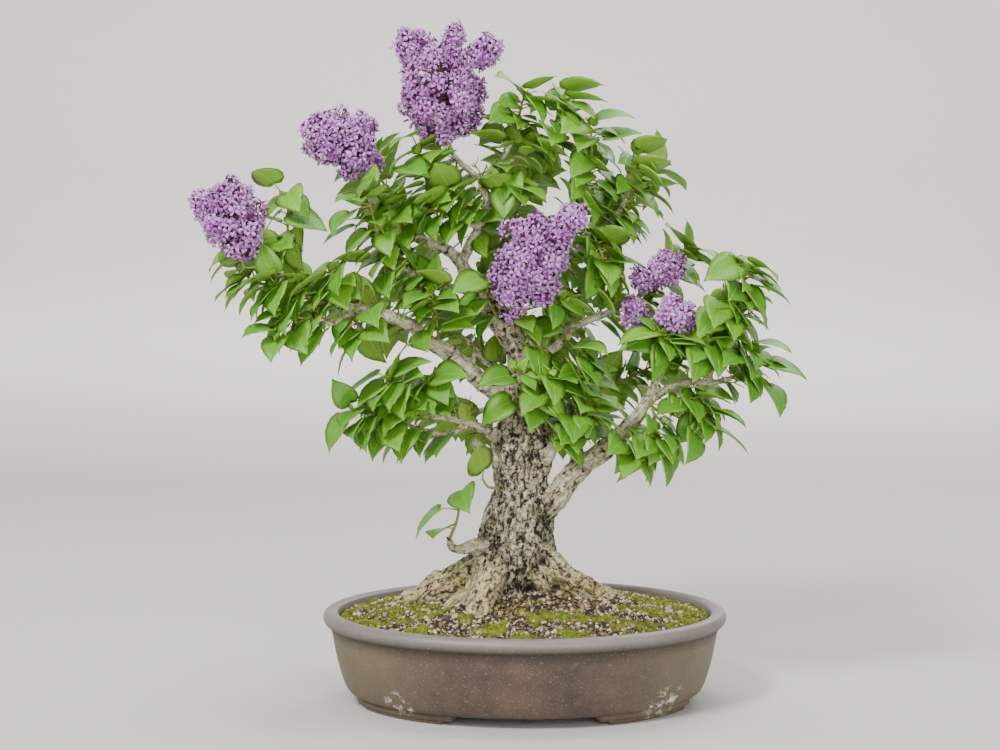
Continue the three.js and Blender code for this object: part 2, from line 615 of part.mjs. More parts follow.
const SPRAYS = {
  spray_far_left: { shoot: [[270, 265, -54], [286, 244, -44], [288, 200, -46]], pairs: 0,
    leaves: [[275, 240, 296, 255], [290, 215, 328, 232], [288, 192, 301, 213], [274, 184, 252, 171]] },
  spray_far_left_low: { shoot: [[285, 281, -53], [262, 284, -48], [243, 272, -38], [238, 250, -26]], pairs: 1,
    leaves: [[233, 259, 203, 276], [240, 282, 214, 303]] },
  spray_left_low: { shoot: [[300, 293, -51], [288, 295, -62], [276, 285, -70]], pairs: 0,
    leaves: [[270, 277, 240, 288], [273, 292, 251, 322], [262, 302, 237, 317]] },
  spray_left_mid: { shoot: [[346, 308, -42], [340, 285, -52], [335, 268, -58]], pairs: 0,
    leaves: [[323, 277, 283, 304], [337, 285, 349, 312]] },
  spray_left_hang: { shoot: [[321, 324, -64], [303, 318, -72], [283, 318, -78]], pairs: 0,
    leaves: [[292, 309, 286, 336], [273, 329, 253, 346], [279, 336, 271, 364], [296, 329, 298, 356]] },
  spray_left_inner: { shoot: [[350, 316, -50], [356, 322, -58], [362, 332, -64]], pairs: 0,
    leaves: [[359, 334, 352, 361], [369, 310, 379, 329]] },
  spray_upper_left: { shoot: [[388, 258, -24], [376, 228, -34], [368, 196, -40]], pairs: 0,
    leaves: [[374, 176, 358, 200], [381, 194, 349, 206], [350, 212, 331, 236], [354, 226, 322, 245],
      [364, 260, 330, 263], [385, 273, 390, 300]] },
  spray_upper_mid: { shoot: [[408, 235, 10], [396, 222, -4], [390, 202, -10]], pairs: 0,
    leaves: [[380, 208, 386, 240], [405, 227, 410, 250]] },
  spray_under_top: { shoot: [[435, 207, -20], [428, 184, -26], [419, 152, -28]], pairs: 0,
    leaves: [[412, 136, 389, 150], [404, 164, 430, 178], [438, 216, 437, 242], [441, 150, 432, 173]] },
  spray_crown_left: { shoot: [[484, 212, -6], [466, 204, -20], [450, 196, -28]], pairs: 0,
    leaves: [[439, 199, 405, 200], [466, 186, 444, 191], [477, 205, 461, 227]] },
  spray_heart: { shoot: [[440, 347, -20], [436, 318, -36], [432, 292, -44]], pairs: 1,
    leaves: [[443, 284, 415, 272], [446, 319, 479, 315], [423, 330, 418, 353], [424, 308, 402, 322]] },
  spray_low_left: { shoot: [[414, 412, -44], [406, 396, -54], [393, 380, -60]], pairs: 0,
    leaves: [[378, 374, 340, 404], [388, 388, 373, 412], [396, 372, 433, 362]] },
  spray_low_left_inner: { shoot: [[442, 417, -30], [436, 398, -44], [430, 382, -50]], pairs: 0,
    leaves: [[434, 376, 470, 377], [424, 388, 436, 417]] },
  spray_low_left_out: { shoot: [[408, 425, -42], [382, 416, -54], [354, 412, -60]], pairs: 0,
    leaves: [[361, 420, 353, 440], [345, 417, 329, 454], [370, 424, 367, 453], [390, 428, 400, 453]] },
  spray_front: { shoot: [[527, 408, -14], [523, 388, -34], [518, 370, -44]], pairs: 0,
    leaves: [[512, 376, 476, 388], [512, 401, 481, 428]] },
  spray_front_right: { shoot: [[536, 424, -16], [545, 400, -36], [549, 376, -46]], pairs: 0,
    leaves: [[541, 394, 564, 423], [556, 380, 578, 384]] },
  spray_right_inner: { shoot: [[568, 436, -34], [578, 420, -44], [588, 402, -50]], pairs: 0,
    leaves: [[575, 417, 573, 445], [590, 415, 626, 437], [594, 398, 618, 408]] },
  spray_right_heart: { shoot: [[575, 399, -8], [579, 378, -26], [581, 356, -36]], pairs: 0,
    leaves: [[584, 378, 621, 393], [578, 348, 609, 356]] },
  spray_trunk_side: { shoot: [[498, 488, -14], [488, 487, -22], [482, 478, -24]], pairs: 0,
    leaves: [[484, 470, 478, 446]] },
  spray_basal: { shoot: [[449, 540, -34], [457, 520, -40], [460, 500, -44]], pairs: 0,
    leaves: [[462, 490, 470, 514], [440, 509, 415, 541], [446, 528, 423, 539]] },
  spray_leader: { shoot: [[499, 320, -8], [490, 304, -26], [484, 291, -36]], pairs: 0,
    leaves: [[482, 278, 466, 303]] },
  spray_under_centre: { shoot: [[565, 338, 6], [562, 318, -20], [558, 300, -34]], pairs: 0,
    leaves: [[555, 292, 555, 326], [572, 304, 598, 318]] },
  spray_right_upper: { shoot: [[593, 237, 20], [602, 254, 0], [604, 274, -12]], pairs: 0,
    leaves: [[612, 261, 654, 275], [596, 234, 615, 249], [594, 290, 616, 323]] },
  spray_crown_mid: { shoot: [[499, 165, 0], [508, 178, -14], [514, 190, -20]], pairs: 1,
    leaves: [[520, 187, 546, 201], [500, 188, 486, 178]] },
  spray_right_top: { shoot: [[735, 298, -50], [742, 284, -56], [747, 270, -60]], pairs: 0,
    leaves: [[739, 264, 703, 282], [753, 264, 778, 282], [755, 279, 791, 306], [738, 294, 751, 312]] },
  spray_right_mid: { shoot: [[726, 324, -47], [728, 312, -56], [729, 302, -60]], pairs: 0,
    leaves: [[720, 301, 713, 330], [733, 314, 765, 331], [716, 316, 696, 338]] },
  spray_right_out: { shoot: [[732, 378, -40], [744, 366, -50], [754, 350, -54]], pairs: 0,
    leaves: [[758, 342, 793, 354], [768, 364, 808, 381], [749, 376, 750, 404], [768, 384, 780, 418],
      [742, 356, 722, 368]] },
  spray_right_crown: { shoot: [[714, 366, -42], [708, 352, -52], [704, 340, -58]], pairs: 0,
    leaves: [[714, 346, 720, 372], [698, 352, 692, 384]] },
  spray_right_hang: { shoot: [[697, 384, -37], [703, 406, -50], [704, 424, -58]], pairs: 0,
    leaves: [[694, 433, 685, 465], [714, 428, 749, 455], [716, 412, 745, 424]] },
  spray_limb_hang: { shoot: [[650, 399, -34], [656, 425, -48], [660, 442, -56]], pairs: 0,
    leaves: [[663, 452, 666, 488], [650, 440, 636, 460]] },
  spray_limb_low: { shoot: [[631, 424, -32], [634, 438, -44], [632, 448, -48]], pairs: 0,
    leaves: [[633, 454, 622, 480], [622, 440, 606, 456]] },
  spray_limb_front: { shoot: [[668, 389, -34], [682, 396, -48], [690, 402, -54]], pairs: 0,
    leaves: [[682, 404, 656, 416], [684, 388, 712, 392]] },
  spray_right_bloom: { shoot: [[667, 346, -42], [664, 340, -50], [662, 334, -54]], pairs: 0,
    leaves: [[660, 346, 651, 384], [656, 332, 617, 346]] },
  spray_right_back: { shoot: [[640, 303, 16], [668, 272, 18], [688, 252, 12]], pairs: 0,
    leaves: [[692, 250, 718, 262], [684, 244, 662, 238]] },
  spray_crown_right: { shoot: [[515, 132, 6], [520, 112, 0], [524, 96, -4]], pairs: 0,
    leaves: [[518, 90, 494, 76], [530, 88, 558, 76], [530, 102, 569, 106], [512, 112, 488, 124],
      [526, 122, 541, 142]] },
  spray_upper_right: { shoot: [[589, 180, 2], [592, 150, -6], [590, 124, -10]], pairs: 0,
    leaves: [[597, 119, 636, 119], [604, 138, 643, 134], [582, 122, 560, 134]] },
  spray_far_right: { shoot: [[629, 185, 8], [632, 170, 2], [634, 152, -2]], pairs: 0,
    leaves: [[640, 150, 669, 139], [642, 168, 672, 161], [634, 190, 649, 204]] },
  spray_crown_far_right: { shoot: [[550, 136, 6], [557, 118, 0], [562, 102, -4]], pairs: 0,
    leaves: [[570, 97, 610, 103], [562, 122, 584, 142], [548, 122, 528, 136], [566, 90, 606, 86]] },
  spray_back_right: { shoot: [[566, 312, 84], [572, 290, 96], [578, 262, 102]], pairs: 2, leaves: [] },
  spray_back_left: { shoot: [[432, 312, 86], [424, 290, 98], [414, 264, 102]], pairs: 2, leaves: [] },
  spray_back_top: { shoot: [[520, 200, 78], [524, 172, 88], [526, 140, 94]], pairs: 2, leaves: [] },
  spray_back_low_right: { shoot: [[618, 384, 84], [640, 372, 94], [662, 362, 98]], pairs: 2, leaves: [] },
  spray_back_low_left: { shoot: [[446, 412, 70], [424, 398, 86], [404, 390, 94]], pairs: 2, leaves: [] },
  spray_back_far_left: { shoot: [[330, 298, 78], [306, 284, 88], [280, 272, 92]], pairs: 2, leaves: [] },
  spray_back_far_right: { shoot: [[625, 206, 70], [644, 184, 84], [658, 164, 92]], pairs: 2, leaves: [] },
  spray_back_up_left: { shoot: [[396, 206, 60], [384, 184, 76], [372, 160, 84]], pairs: 2, leaves: [] },
};

// Heart-shaped blade: [share of the length, share to each side], from the base to the tip
const BLADE = [[-0.03, 0.27], [0.4, 0.385]];
const BLADE_HEART = 0.3;
const STALK_HALF = 0.8;

// Ways to swing a leaf that would cross another piece, in degrees: [round, up or down, share of length]
const SWINGS = [[0, 0, 1], [16, 0, 1], [-16, 0, 1], [0, 16, 1], [0, -18, 1], [30, 8, 0.95], [-30, 8, 0.95],
  [22, -20, 0.9], [-22, -20, 0.9], [0, 30, 0.85], [46, 0, 0.85], [-46, 0, 0.85], [0, 0, 0.7]];

// Leaf solid: spread is added all round for a test of clearance
function leafSolid({ foot, base, tip, normal, arch, fold }, spread = 0, withStalk = true) {
  const along = tip.clone().sub(base);
  const length = along.length();
  along.normalize();
  const up = normal.clone();
  const side = up.clone().cross(along).normalize();
  const half = LEAF_THICKNESS / 2 + spread;
  const place = (share, offset, lift) => {
    const rise = length * (4 * arch * share * (1 - share) + fold * Math.abs(offset));
    const spot = base.clone().addScaledVector(along, share * length);
    return spot.addScaledVector(side, offset * length).addScaledVector(up, rise + lift);
  };
  const wider = spread / length;
  const outline = [
    ...BLADE.map(([share, offset]) => [share, offset + wider]),
    [1 + wider, 0],
    ...BLADE.map(([share, offset]) => [share, -offset - wider]).reverse(),
  ];
  const stalk = (STALK_HALF + spread) / length;
  const points = [
    place(0, stalk, half),
    place(0, -stalk, half),
    place(BLADE_HEART, 0, half),
    ...outline.map(([share, offset]) => place(share, offset, half)),
    place(0, 0, -half - 0.3),
    place(BLADE_HEART, 0, -half),
    ...outline.map(([share, offset]) => place(share, offset, -half)),
  ];
  const top = 3;
  const below = 3 + outline.length + 2;
  const last = outline.length - 1;
  const faces = [[0, 1, 2], [0, 2, top], [1, top + last, 2]];
  const baseBelow = below - 2;
  const heartBelow = below - 1;
  faces.push([baseBelow, below, heartBelow], [baseBelow, heartBelow, below + last]);
  for (let edge = 0; edge < last; edge += 1) {
    faces.push([top + edge, 2, top + edge + 1]);
    faces.push([below + edge, below + edge + 1, heartBelow]);
    faces.push([top + edge, top + edge + 1, below + edge + 1]);
    faces.push([top + edge, below + edge + 1, below + edge]);
  }
  faces.push([0, top, below], [0, below, baseBelow]);
  faces.push([1, below + last, top + last], [1, baseBelow, below + last]);
  if (withStalk) {
    const count = points.length;
    const back = base.clone().sub(foot).normalize();
    const beside = up.clone().cross(back).normalize();
    const over = back.clone().cross(beside);
    const thin = STALK_HALF + spread;
    points.push(foot.clone().addScaledVector(beside, thin).addScaledVector(over, half));
    points.push(foot.clone().addScaledVector(beside, -thin).addScaledVector(over, half));
    points.push(foot.clone().addScaledVector(over, -half - 0.3));
    faces.push([0, count, 1], [count, count + 1, 1]);
    faces.push([0, baseBelow, count], [count, baseBelow, count + 2]);
    faces.push([1, count + 1, baseBelow], [count + 1, count + 2, baseBelow]);
    faces.push([count, count + 2, count + 1]);
  } else {
    faces.push([0, baseBelow, 1]);
  }
  return solidFrom(points, faces);
}

// Nearest point to a place on a line of points, kept off its very ends
function nearestOn(line, place) {
  let best = null;
  for (let index = 0; index < line.length - 1; index += 1) {
    const run = line[index + 1].clone().sub(line[index]);
    const share = THREE.MathUtils.clamp(
      place.clone().sub(line[index]).dot(run) / run.lengthSq(),
      index === 0 ? 0.25 : 0.02,
      index === line.length - 2 ? 0.96 : 1,
    );
    const spot = line[index].clone().addScaledVector(run, share);
    const distance = spot.distanceTo(place);
    if (!best || distance < best.distance) best = { spot, distance };
  }
  return best.spot;
}

const CROWN_AXIS = new THREE.Vector3(10, 0, 0);

function outwardFrom(place) {
  return new THREE.Vector3(place.x - CROWN_AXIS.x, place.y - CROWN_AXIS.y, 0).normalize();
}

// Swings a leaf about its blade's base and works out the way its upper face looks
function swungLeaf(leaf, [round, rise, share]) {
  const run = leaf.tip.clone().sub(leaf.base);
  const level = new THREE.Vector3(run.y, -run.x, 0);
  if (level.lengthSq() < 1) level.set(1, 0, 0);
  run.applyAxisAngle(level.normalize(), THREE.MathUtils.degToRad(rise));
  run.applyAxisAngle(new THREE.Vector3(0, 0, 1), THREE.MathUtils.degToRad(round)).multiplyScalar(share);
  const tip = leaf.base.clone().add(run);
  const along = run.clone().normalize();
  const facing = outwardFrom(leaf.base).multiplyScalar(0.6);
  facing.z += 0.8;
  facing.addScaledVector(along, -facing.dot(along)).normalize();
  const normal = facing.applyAxisAngle(along, leaf.roll);
  return { ...leaf, tip, normal };
}

// A leaf that was read off the front view
function seenLeaf([column, row, tipColumn, tipRow], line, draw) {
  const length = LEAF_LENGTH * (0.92 + 0.2 * draw());
  const roll = 0.7 * (draw() - 0.5);
  const arch = 0.05 + 0.06 * draw();
  const fold = 0.22 + 0.2 * draw();
  const guess = nearestOn(line, seen([column, row, line[1].y]));
  const outer = guess.y > 40 ? 1 : -1;
  const depth = guess.y + outer * 5;
  const base = seen([column, row, depth]);
  const level = seen([tipColumn, tipRow, depth]);
  const shown = level.distanceTo(base);
  const hidden = Math.sqrt(Math.max(0, length * length - shown * shown));
  const tip = seen([tipColumn, tipRow, depth + outer * hidden]);
  return { foot: nearestOn(line, base), base, tip, roll, arch, fold };
}

// The two leaves of a pair, opposite each other and turned a quarter from the pair below
function pairedLeaves(line, pair, pairs, draw) {
  const reach = (pair + 0.7) / pairs;
  const whole = Math.min(line.length - 2, Math.floor(reach * (line.length - 1)));
  const share = Math.min(0.96, reach * (line.length - 1) - whole);
  const foot = line[whole].clone().lerp(line[whole + 1], share);
  const along = line[whole + 1].clone().sub(line[whole]).normalize();
  const first = new THREE.Vector3(0, 0, 1).cross(along).normalize();
  first.applyAxisAngle(along, (pair * Math.PI) / 2 + 0.9 * (draw() - 0.5));
  return [1, -1].map((way) => {
    const length = LEAF_LENGTH * (0.85 + 0.3 * draw());
    const roll = 0.7 * (draw() - 0.5);
    const arch = 0.05 + 0.06 * draw();
    const fold = 0.22 + 0.2 * draw();
    const stalk = 9 + 5 * draw();
    const out = first.clone().multiplyScalar(way).addScaledVector(along, 0.5);
    out.addScaledVector(outwardFrom(foot), 0.35).normalize();
    const base = foot.clone().addScaledVector(out, stalk);
    const hang = out.clone();
    hang.z -= 0.35 + 0.4 * draw();
    const tip = base.clone().addScaledVector(hang.normalize(), length);
    return { foot, base, tip, roll, arch, fold };
  });
}

// Every leaf wanted on a spray, before any is swung or left off
function wantedLeaves(spray, index) {
  const draw = seededDraws(100 + index);
  const line = spray.shoot.map(seen);
  const read = spray.leaves.map((leaf) => seenLeaf(leaf, line, draw));
  const paired = Array.from({ length: spray.pairs }, (_, pair) => pairedLeaves(line, pair, spray.pairs, draw));
  return [...read, ...paired.flat()];
}

function boxesMeet(one, other) {
  return [0, 1, 2].every((axis) => one.min[axis] <= other.max[axis] && other.min[axis] <= one.max[axis]);
}

function isClear(solid, others) {
  const box = solid.boundingBox();
  return others.every((other) => !boxesMeet(box, other.boundingBox()) || solid.intersect(other).isEmpty());
}

// The clean body of a joined spray, or nothing where it has come apart or a seam isn't sound
function cleanBody(solid) {
  const pieces = solid.decompose().filter((piece) => piece.volume() > 0);
  if (pieces.length !== 1) return null;
  const clean = withoutSlivers(pieces[0]);
  return isSound(clean) && clean.decompose().length === 1 ? clean : null;
}

// Grows the sprays one after another. A leaf takes the first swing that keeps it clear of the
// wood, the blooms and every leaf before it, and one that finds none is left off.
function spraySolids(wood, fixed) {
  const names = Object.keys(SPRAYS);
  const shoots = names.map((name) => {
    const line = SPRAYS[name].shoot.map(seen);
    return rod(line, taper(line.length, SHOOT_RADIUS + 0.5, SHOOT_RADIUS - 0.3), 3, 0.01);
  });
  const grown = [...fixed];
  const solids = {};
  names.forEach((name, index) => {
    const otherShoots = shoots.filter((_, other) => other !== index);
    const blades = [wood];
    let spray = largestPiece(shoots[index].subtract(wood));
    wantedLeaves(SPRAYS[name], index).forEach((wanted) => {
      SWINGS.some((swing) => {
        const leaf = swungLeaf(wanted, swing);
        const whole = leafSolid(leaf, GAP);
        const isFree = isClear(whole, grown) && isClear(whole, otherShoots)
          && isClear(leafSolid(leaf, GAP, false), blades);
        if (!isFree) return false;
        const joined = join([spray, leafSolid(leaf).subtract(wood)]);
        if (!cleanBody(joined)) return false;
        spray = joined;
        blades.push(leafSolid(leaf));
        return true;
      });
    });
    solids[name] = cleanBody(spray);
    grown.push(solids[name]);
  });
  return solids;
}

// Materials

const CLAY = new THREE.MeshStandardMaterial({ color: '#6e5f55', roughness: 0.78 });
const GRIT = new THREE.MeshStandardMaterial({ color: '#5b5140', roughness: 0.95 });
const BARK = new THREE.MeshStandardMaterial({ color: '#b3a488', roughness: 0.9 });
const LEAF = new THREE.MeshStandardMaterial({ color: '#5c9a45', roughness: 0.5 });
const BLOOM = new THREE.MeshStandardMaterial({ color: '#b18ad6', roughness: 0.6 });
const NET = new THREE.MeshStandardMaterial({ color: '#2b2d2c', roughness: 0.6 });

// The model

function piece(name, geometry, material) {
  const mesh = new THREE.Mesh(geometry, material);
  mesh.name = name;
  return mesh;
}

const bonsai = new THREE.Group();

const holder = new THREE.Group();
holder.position.x = POT_SHIFT;
holder.add(piece('pot', geometryFrom(potSolid()), CLAY));
[['left', -1], ['right', 1]].forEach(([side, way]) => {
  const screen = piece(`drainage_screen_${side}`, screenGeometry(), NET);
  screen.position.set(way * HOLE_SPREAD, 0, POT_FLOOR + GAP + SCREEN_THICKNESS / 2);
  holder.add(screen);
});
bonsai.add(holder);

const woodClearance = trunkSolid(GAP);
const soil = soilSolid(woodClearance);
bonsai.add(piece('soil', geometryFrom(soil), GRIT));
const wood = withoutSlivers(trunkSolid().simplify(SMOOTHING));
bonsai.add(piece('trunk', geometryFrom(wood), BARK));

const blooms = Object.entries(PANICLES).map(([name, panicle], index) => {
  const solid = panicleSolid(panicle, index, woodClearance);
  bonsai.add(piece(name, geometryFrom(solid), BLOOM));
  return solid;
});

const potInPlace = potSolid().translate([POT_SHIFT, 0, 0]);
Object.entries(spraySolids(woodClearance, [...blooms, soil, potInPlace])).forEach(([name, solid]) => {
  bonsai.add(piece(name, geometryFrom(solid), LEAF));
});

export default bonsai;
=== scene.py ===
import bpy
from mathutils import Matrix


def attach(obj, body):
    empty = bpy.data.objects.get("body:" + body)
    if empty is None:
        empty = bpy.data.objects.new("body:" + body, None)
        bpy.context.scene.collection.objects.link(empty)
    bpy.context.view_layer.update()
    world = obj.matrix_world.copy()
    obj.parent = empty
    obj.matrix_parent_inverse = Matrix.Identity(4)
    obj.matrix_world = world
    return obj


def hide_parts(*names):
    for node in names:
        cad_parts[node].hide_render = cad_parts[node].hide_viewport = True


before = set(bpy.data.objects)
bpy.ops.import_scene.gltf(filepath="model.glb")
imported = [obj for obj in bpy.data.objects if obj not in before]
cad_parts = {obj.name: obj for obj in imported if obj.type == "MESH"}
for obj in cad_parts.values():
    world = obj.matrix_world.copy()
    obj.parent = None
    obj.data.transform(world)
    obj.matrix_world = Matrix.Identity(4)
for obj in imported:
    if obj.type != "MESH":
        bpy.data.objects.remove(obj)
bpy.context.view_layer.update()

import math
from functools import partial

import bpy
import numpy as np
from mathutils import Matrix, Vector, kdtree, noise

bl_info = {
    "name": "Lilac bonsai",
    "version": (1, 0, 0),
    "blender": (4, 5, 0),
    "location": "View3D > Sidebar > Bonsai",
    "description": "Makes the wood, leaves, blooms, soil and pot of a lilac bonsai",
    "category": "Object",
}

MM = 0.001

# Front view that the given places are read from, 1 mm a step at the tree's middle
VIEW_COLUMN, VIEW_ROW, VIEW_ACROSS, VIEW_UP = 500.0, 375.0, 1.0, 332.0
VIEW_DISTANCE, VIEW_TILT = 2600.0, math.radians(6.8)
EYE = np.array([
    VIEW_ACROSS,
    -VIEW_DISTANCE * math.cos(VIEW_TILT),
    VIEW_UP + VIEW_DISTANCE * math.sin(VIEW_TILT),
])

# Pot and soil, in millimetres
POT_LENGTH, POT_WIDTH, POT_SHIFT = 408.0, 304.0, 26.0
POT_FLOOR, FOOT_HEIGHT, HOLE_RADIUS, HOLE_SPREAD = 20.0, 9.8, 14.0, 85.0
SOIL_EDGE, SOIL_RISE = 86.0, 28.0
POT_OUTSIDE = [(33, 9.8), (25, 13.5), (19.6, 26), (13.4, 49), (8.6, 78.5), (2.5, 81.5), (0, 87.5),
               (2.5, 93), (9, 95), (15, 93), (16, 90)]
POT_INSIDE = [(18.5, 80), (23, 50), (32, 26), (44, 20)]
FOOT_STEPS = [
    dict(start=17, stop=65, outer=32, inner=66, bottom=4.5, top=11.8),
    dict(start=20, stop=61, outer=35, inner=62, bottom=0, top=5.5),
]

# Lime on the pot's front, read off the front view as (column, row, depth, reach)
LIME = [(396, 706, -94, 13), (405, 709, -96, 9), (672, 708, -88, 20), (655, 714, -92, 12), (688, 703, -84, 9),
        (400, 681, -112, 4)]

# Leaves, in millimetres
LEAF_LENGTH, LEAF_THICKNESS = 40.0, 0.8


def seen(place):
    """Place in millimetres of a point seen at a column and row, at a depth behind the tree's middle."""
    column, row, depth = place
    above = VIEW_ROW - row
    on_plane = np.array([
        VIEW_ACROSS + column - VIEW_COLUMN,
        above * math.sin(VIEW_TILT),
        VIEW_UP + above * math.cos(VIEW_TILT),
    ])
    share = (depth - EYE[1]) / (on_plane[1] - EYE[1])
    return EYE + share * (on_plane - EYE)


def seeded_draws(seed):
    """Seeded draws between 0 and 1, the same that placed the solid leaves."""
    mask = 0xFFFFFFFF
    state = seed
    while True:
        state = (state + 0x6D2B79F5) & mask
        mixed = ((state ^ (state >> 15)) * (state | 1)) & mask
        mixed = ((mixed + (((mixed ^ (mixed >> 7)) * (mixed | 61)) & mask)) & mask) ^ mixed
        yield ((mixed ^ (mixed >> 14)) & mask) / 4294967296


def unit(vector):
    """A vector made 1 long."""
    return vector / np.linalg.norm(vector)


def shake(draws):
    """A vector of three draws between -0.5 and 0.5."""
    return np.array([next(draws), next(draws), next(draws)]) - 0.5


def off_segment(column, row, start, stop):
    """How far points of the front view lie from the straight line between two others."""
    (x0, y0), (x1, y1) = start, stop
    run = (x1 - x0) ** 2 + (y1 - y0) ** 2
    share = np.clip(((column - x0) * (x1 - x0) + (row - y0) * (y1 - y0)) / run, 0, 1)
    return np.hypot(column - x0 - share * (x1 - x0), row - y0 - share * (y1 - y0))


def linear(hex_colour):
    """Linear colour of an sRGB hex value."""
    shares = [int(hex_colour[at:at + 2], 16) / 255 for at in (1, 3, 5)]
    return tuple(c / 12.92 if c <= 0.04045 else ((c + 0.055) / 1.055) ** 2.4 for c in shares)


# Meshes and node trees

def mesh_object(name, points, faces, smooth=True):
    """Object with a mesh whose points are given in millimetres."""
    mesh = bpy.data.meshes.new(name)
    mesh.from_pydata([tuple(p) for p in np.asarray(points, float) * MM], [], [tuple(f) for f in faces])
    mesh.validate()
    mesh.polygons.foreach_set("use_smooth", [smooth] * len(mesh.polygons))
    thing = bpy.data.objects.new(name, mesh)
    bpy.context.scene.collection.objects.link(thing)
    return thing


def set_attribute(mesh, name, kind, values):
    """Stores one value a point: kind is FLOAT, INT, FLOAT_VECTOR or QUATERNION."""
    attribute = mesh.attributes.new(name, kind, "POINT")
    field = "vector" if kind == "FLOAT_VECTOR" else "value"
    dtype = np.int32 if kind == "INT" else np.float32
    attribute.data.foreach_set(field, np.asarray(values, dtype).ravel())


def plug(node, sockets):
    """Gives a node's sockets their values; a node or an output is linked."""
    for key, value in sockets.items():
        if isinstance(value, bpy.types.Node):
            value = next(output for output in value.outputs if output.enabled)
        if isinstance(value, bpy.types.NodeSocket):
            node.id_data.links.new(value, node.inputs[key])
        else:
            node.inputs[key].default_value = value


def add_node(tree, kind, settings=None, sockets=None):
    """Adds a node with its settings, the stops of a colour ramp too, and its sockets' values or links."""
    node = tree.nodes.new(kind)
    for key, value in (settings or {}).items():
        if key == "stops":
            elements = node.color_ramp.elements
            while len(elements) < len(value):
                elements.new(0.5)
            for element, (position, colour) in zip(elements, value):
                element.position = position
                element.color = colour
        else:
            setattr(node, key, value)
    plug(node, sockets or {})
    return node


def geometry_tree(name, inputs):
    """Geometry tree with named inputs, and its input and output nodes."""
    tree = bpy.data.node_groups.new(name, "GeometryNodeTree")
    tree.interface.new_socket("Geometry", in_out="INPUT", socket_type="NodeSocketGeometry")
    for label, kind in inputs:
        tree.interface.new_socket(label, in_out="INPUT", socket_type=kind)
    tree.interface.new_socket("Geometry", in_out="OUTPUT", socket_type="NodeSocketGeometry")
    return tree, add_node(tree, "NodeGroupInput"), add_node(tree, "NodeGroupOutput")


def finish_tree(tree, group_in, group_out, geometry):
    """Ends a tree: its geometry made real, with the material that the input names."""
    real = add_node(tree, "GeometryNodeRealizeInstances", sockets={"Geometry": geometry})
    dressed = add_node(tree, "GeometryNodeSetMaterial", sockets={
        "Geometry": real.outputs[0], "Material": group_in.outputs["Material"]})
    tree.links.new(dressed.outputs[0], group_out.inputs[0])


def run_tree(thing, tree, values):
    """Runs a tree on an object and keeps the result as its plain mesh."""
    modifier = thing.modifiers.new("shape", "NODES")
    modifier.node_group = tree
    for item in tree.interface.items_tree:
        if item.item_type == "SOCKET" and item.in_out == "INPUT" and item.name in values:
            modifier[item.identifier] = values[item.name]
    keep_result(thing)


def keep_result(thing):
    """Turns an object's modifiers into its plain mesh."""
    bpy.context.view_layer.update()
    evaluated = thing.evaluated_get(bpy.context.evaluated_depsgraph_get())
    made = bpy.data.meshes.new_from_object(evaluated, preserve_all_data_layers=True,
                                           depsgraph=bpy.context.evaluated_depsgraph_get())
    thing.modifiers.clear()
    thing.data = made
    thing.data.name = thing.name


def discard(things):
    """Removes the helper objects that a piece was made with."""
    for thing in things:
        bpy.data.objects.remove(thing)


def scatter_tree(name, kinds):
    """Tree that stands one of its shapes on every point, by the point's kind, turn and size."""
    shapes = [(f"Shape {index}", "NodeSocketObject") for index in range(kinds)]
    tree, group_in, group_out = geometry_tree(name, shapes + [("Material", "NodeSocketMaterial")])
    kind, turn, size = (
        add_node(tree, "GeometryNodeInputNamedAttribute", {"data_type": stored}, {"Name": label})
        for label, stored in (("kind", "INT"), ("turn", "QUATERNION"), ("size", "FLOAT_VECTOR")))
    joined = add_node(tree, "GeometryNodeJoinGeometry")
    for index in range(kinds):
        shape = add_node(tree, "GeometryNodeObjectInfo", sockets={
            "Object": group_in.outputs[f"Shape {index}"]})
        chosen = add_node(tree, "FunctionNodeCompare", {"data_type": "INT", "operation": "EQUAL"}, {
            2: kind.outputs["Attribute"], 3: index})
        stood = add_node(tree, "GeometryNodeInstanceOnPoints", sockets={
            "Points": group_in.outputs["Geometry"], "Selection": chosen.outputs[0],
            "Instance": shape.outputs["Geometry"], "Rotation": turn.outputs["Attribute"],
            "Scale": size.outputs["Attribute"]})
        tree.links.new(stood.outputs[0], joined.inputs[0])
    finish_tree(tree, group_in, group_out, joined.outputs[0])
    return tree


def stem_tree():
    """Tree that turns lines with a radius at every point into round stems."""
    tree, group_in, group_out = geometry_tree("stems along lines", [
        ("Sides", "NodeSocketInt"), ("Material", "NodeSocketMaterial")])
    radius = add_node(tree, "GeometryNodeInputNamedAttribute", {"data_type": "FLOAT"}, {"Name": "thick"})
    lines = add_node(tree, "GeometryNodeMeshToCurve", sockets={"Mesh": group_in.outputs["Geometry"]})
    sized = add_node(tree, "GeometryNodeSetCurveRadius", sockets={
        "Curve": lines.outputs[0], "Radius": radius.outputs["Attribute"]})
    ring = add_node(tree, "GeometryNodeCurvePrimitiveCircle", sockets={
        "Resolution": group_in.outputs["Sides"], "Radius": 1.0})
    tube = add_node(tree, "GeometryNodeCurveToMesh", sockets={
        "Curve": sized, "Profile Curve": ring, "Scale": radius.outputs["Attribute"], "Fill Caps": True})
    smooth = add_node(tree, "GeometryNodeSetShadeSmooth", sockets={"Geometry": tube.outputs[0]})
    finish_tree(tree, group_in, group_out, smooth.outputs[0])
    return tree


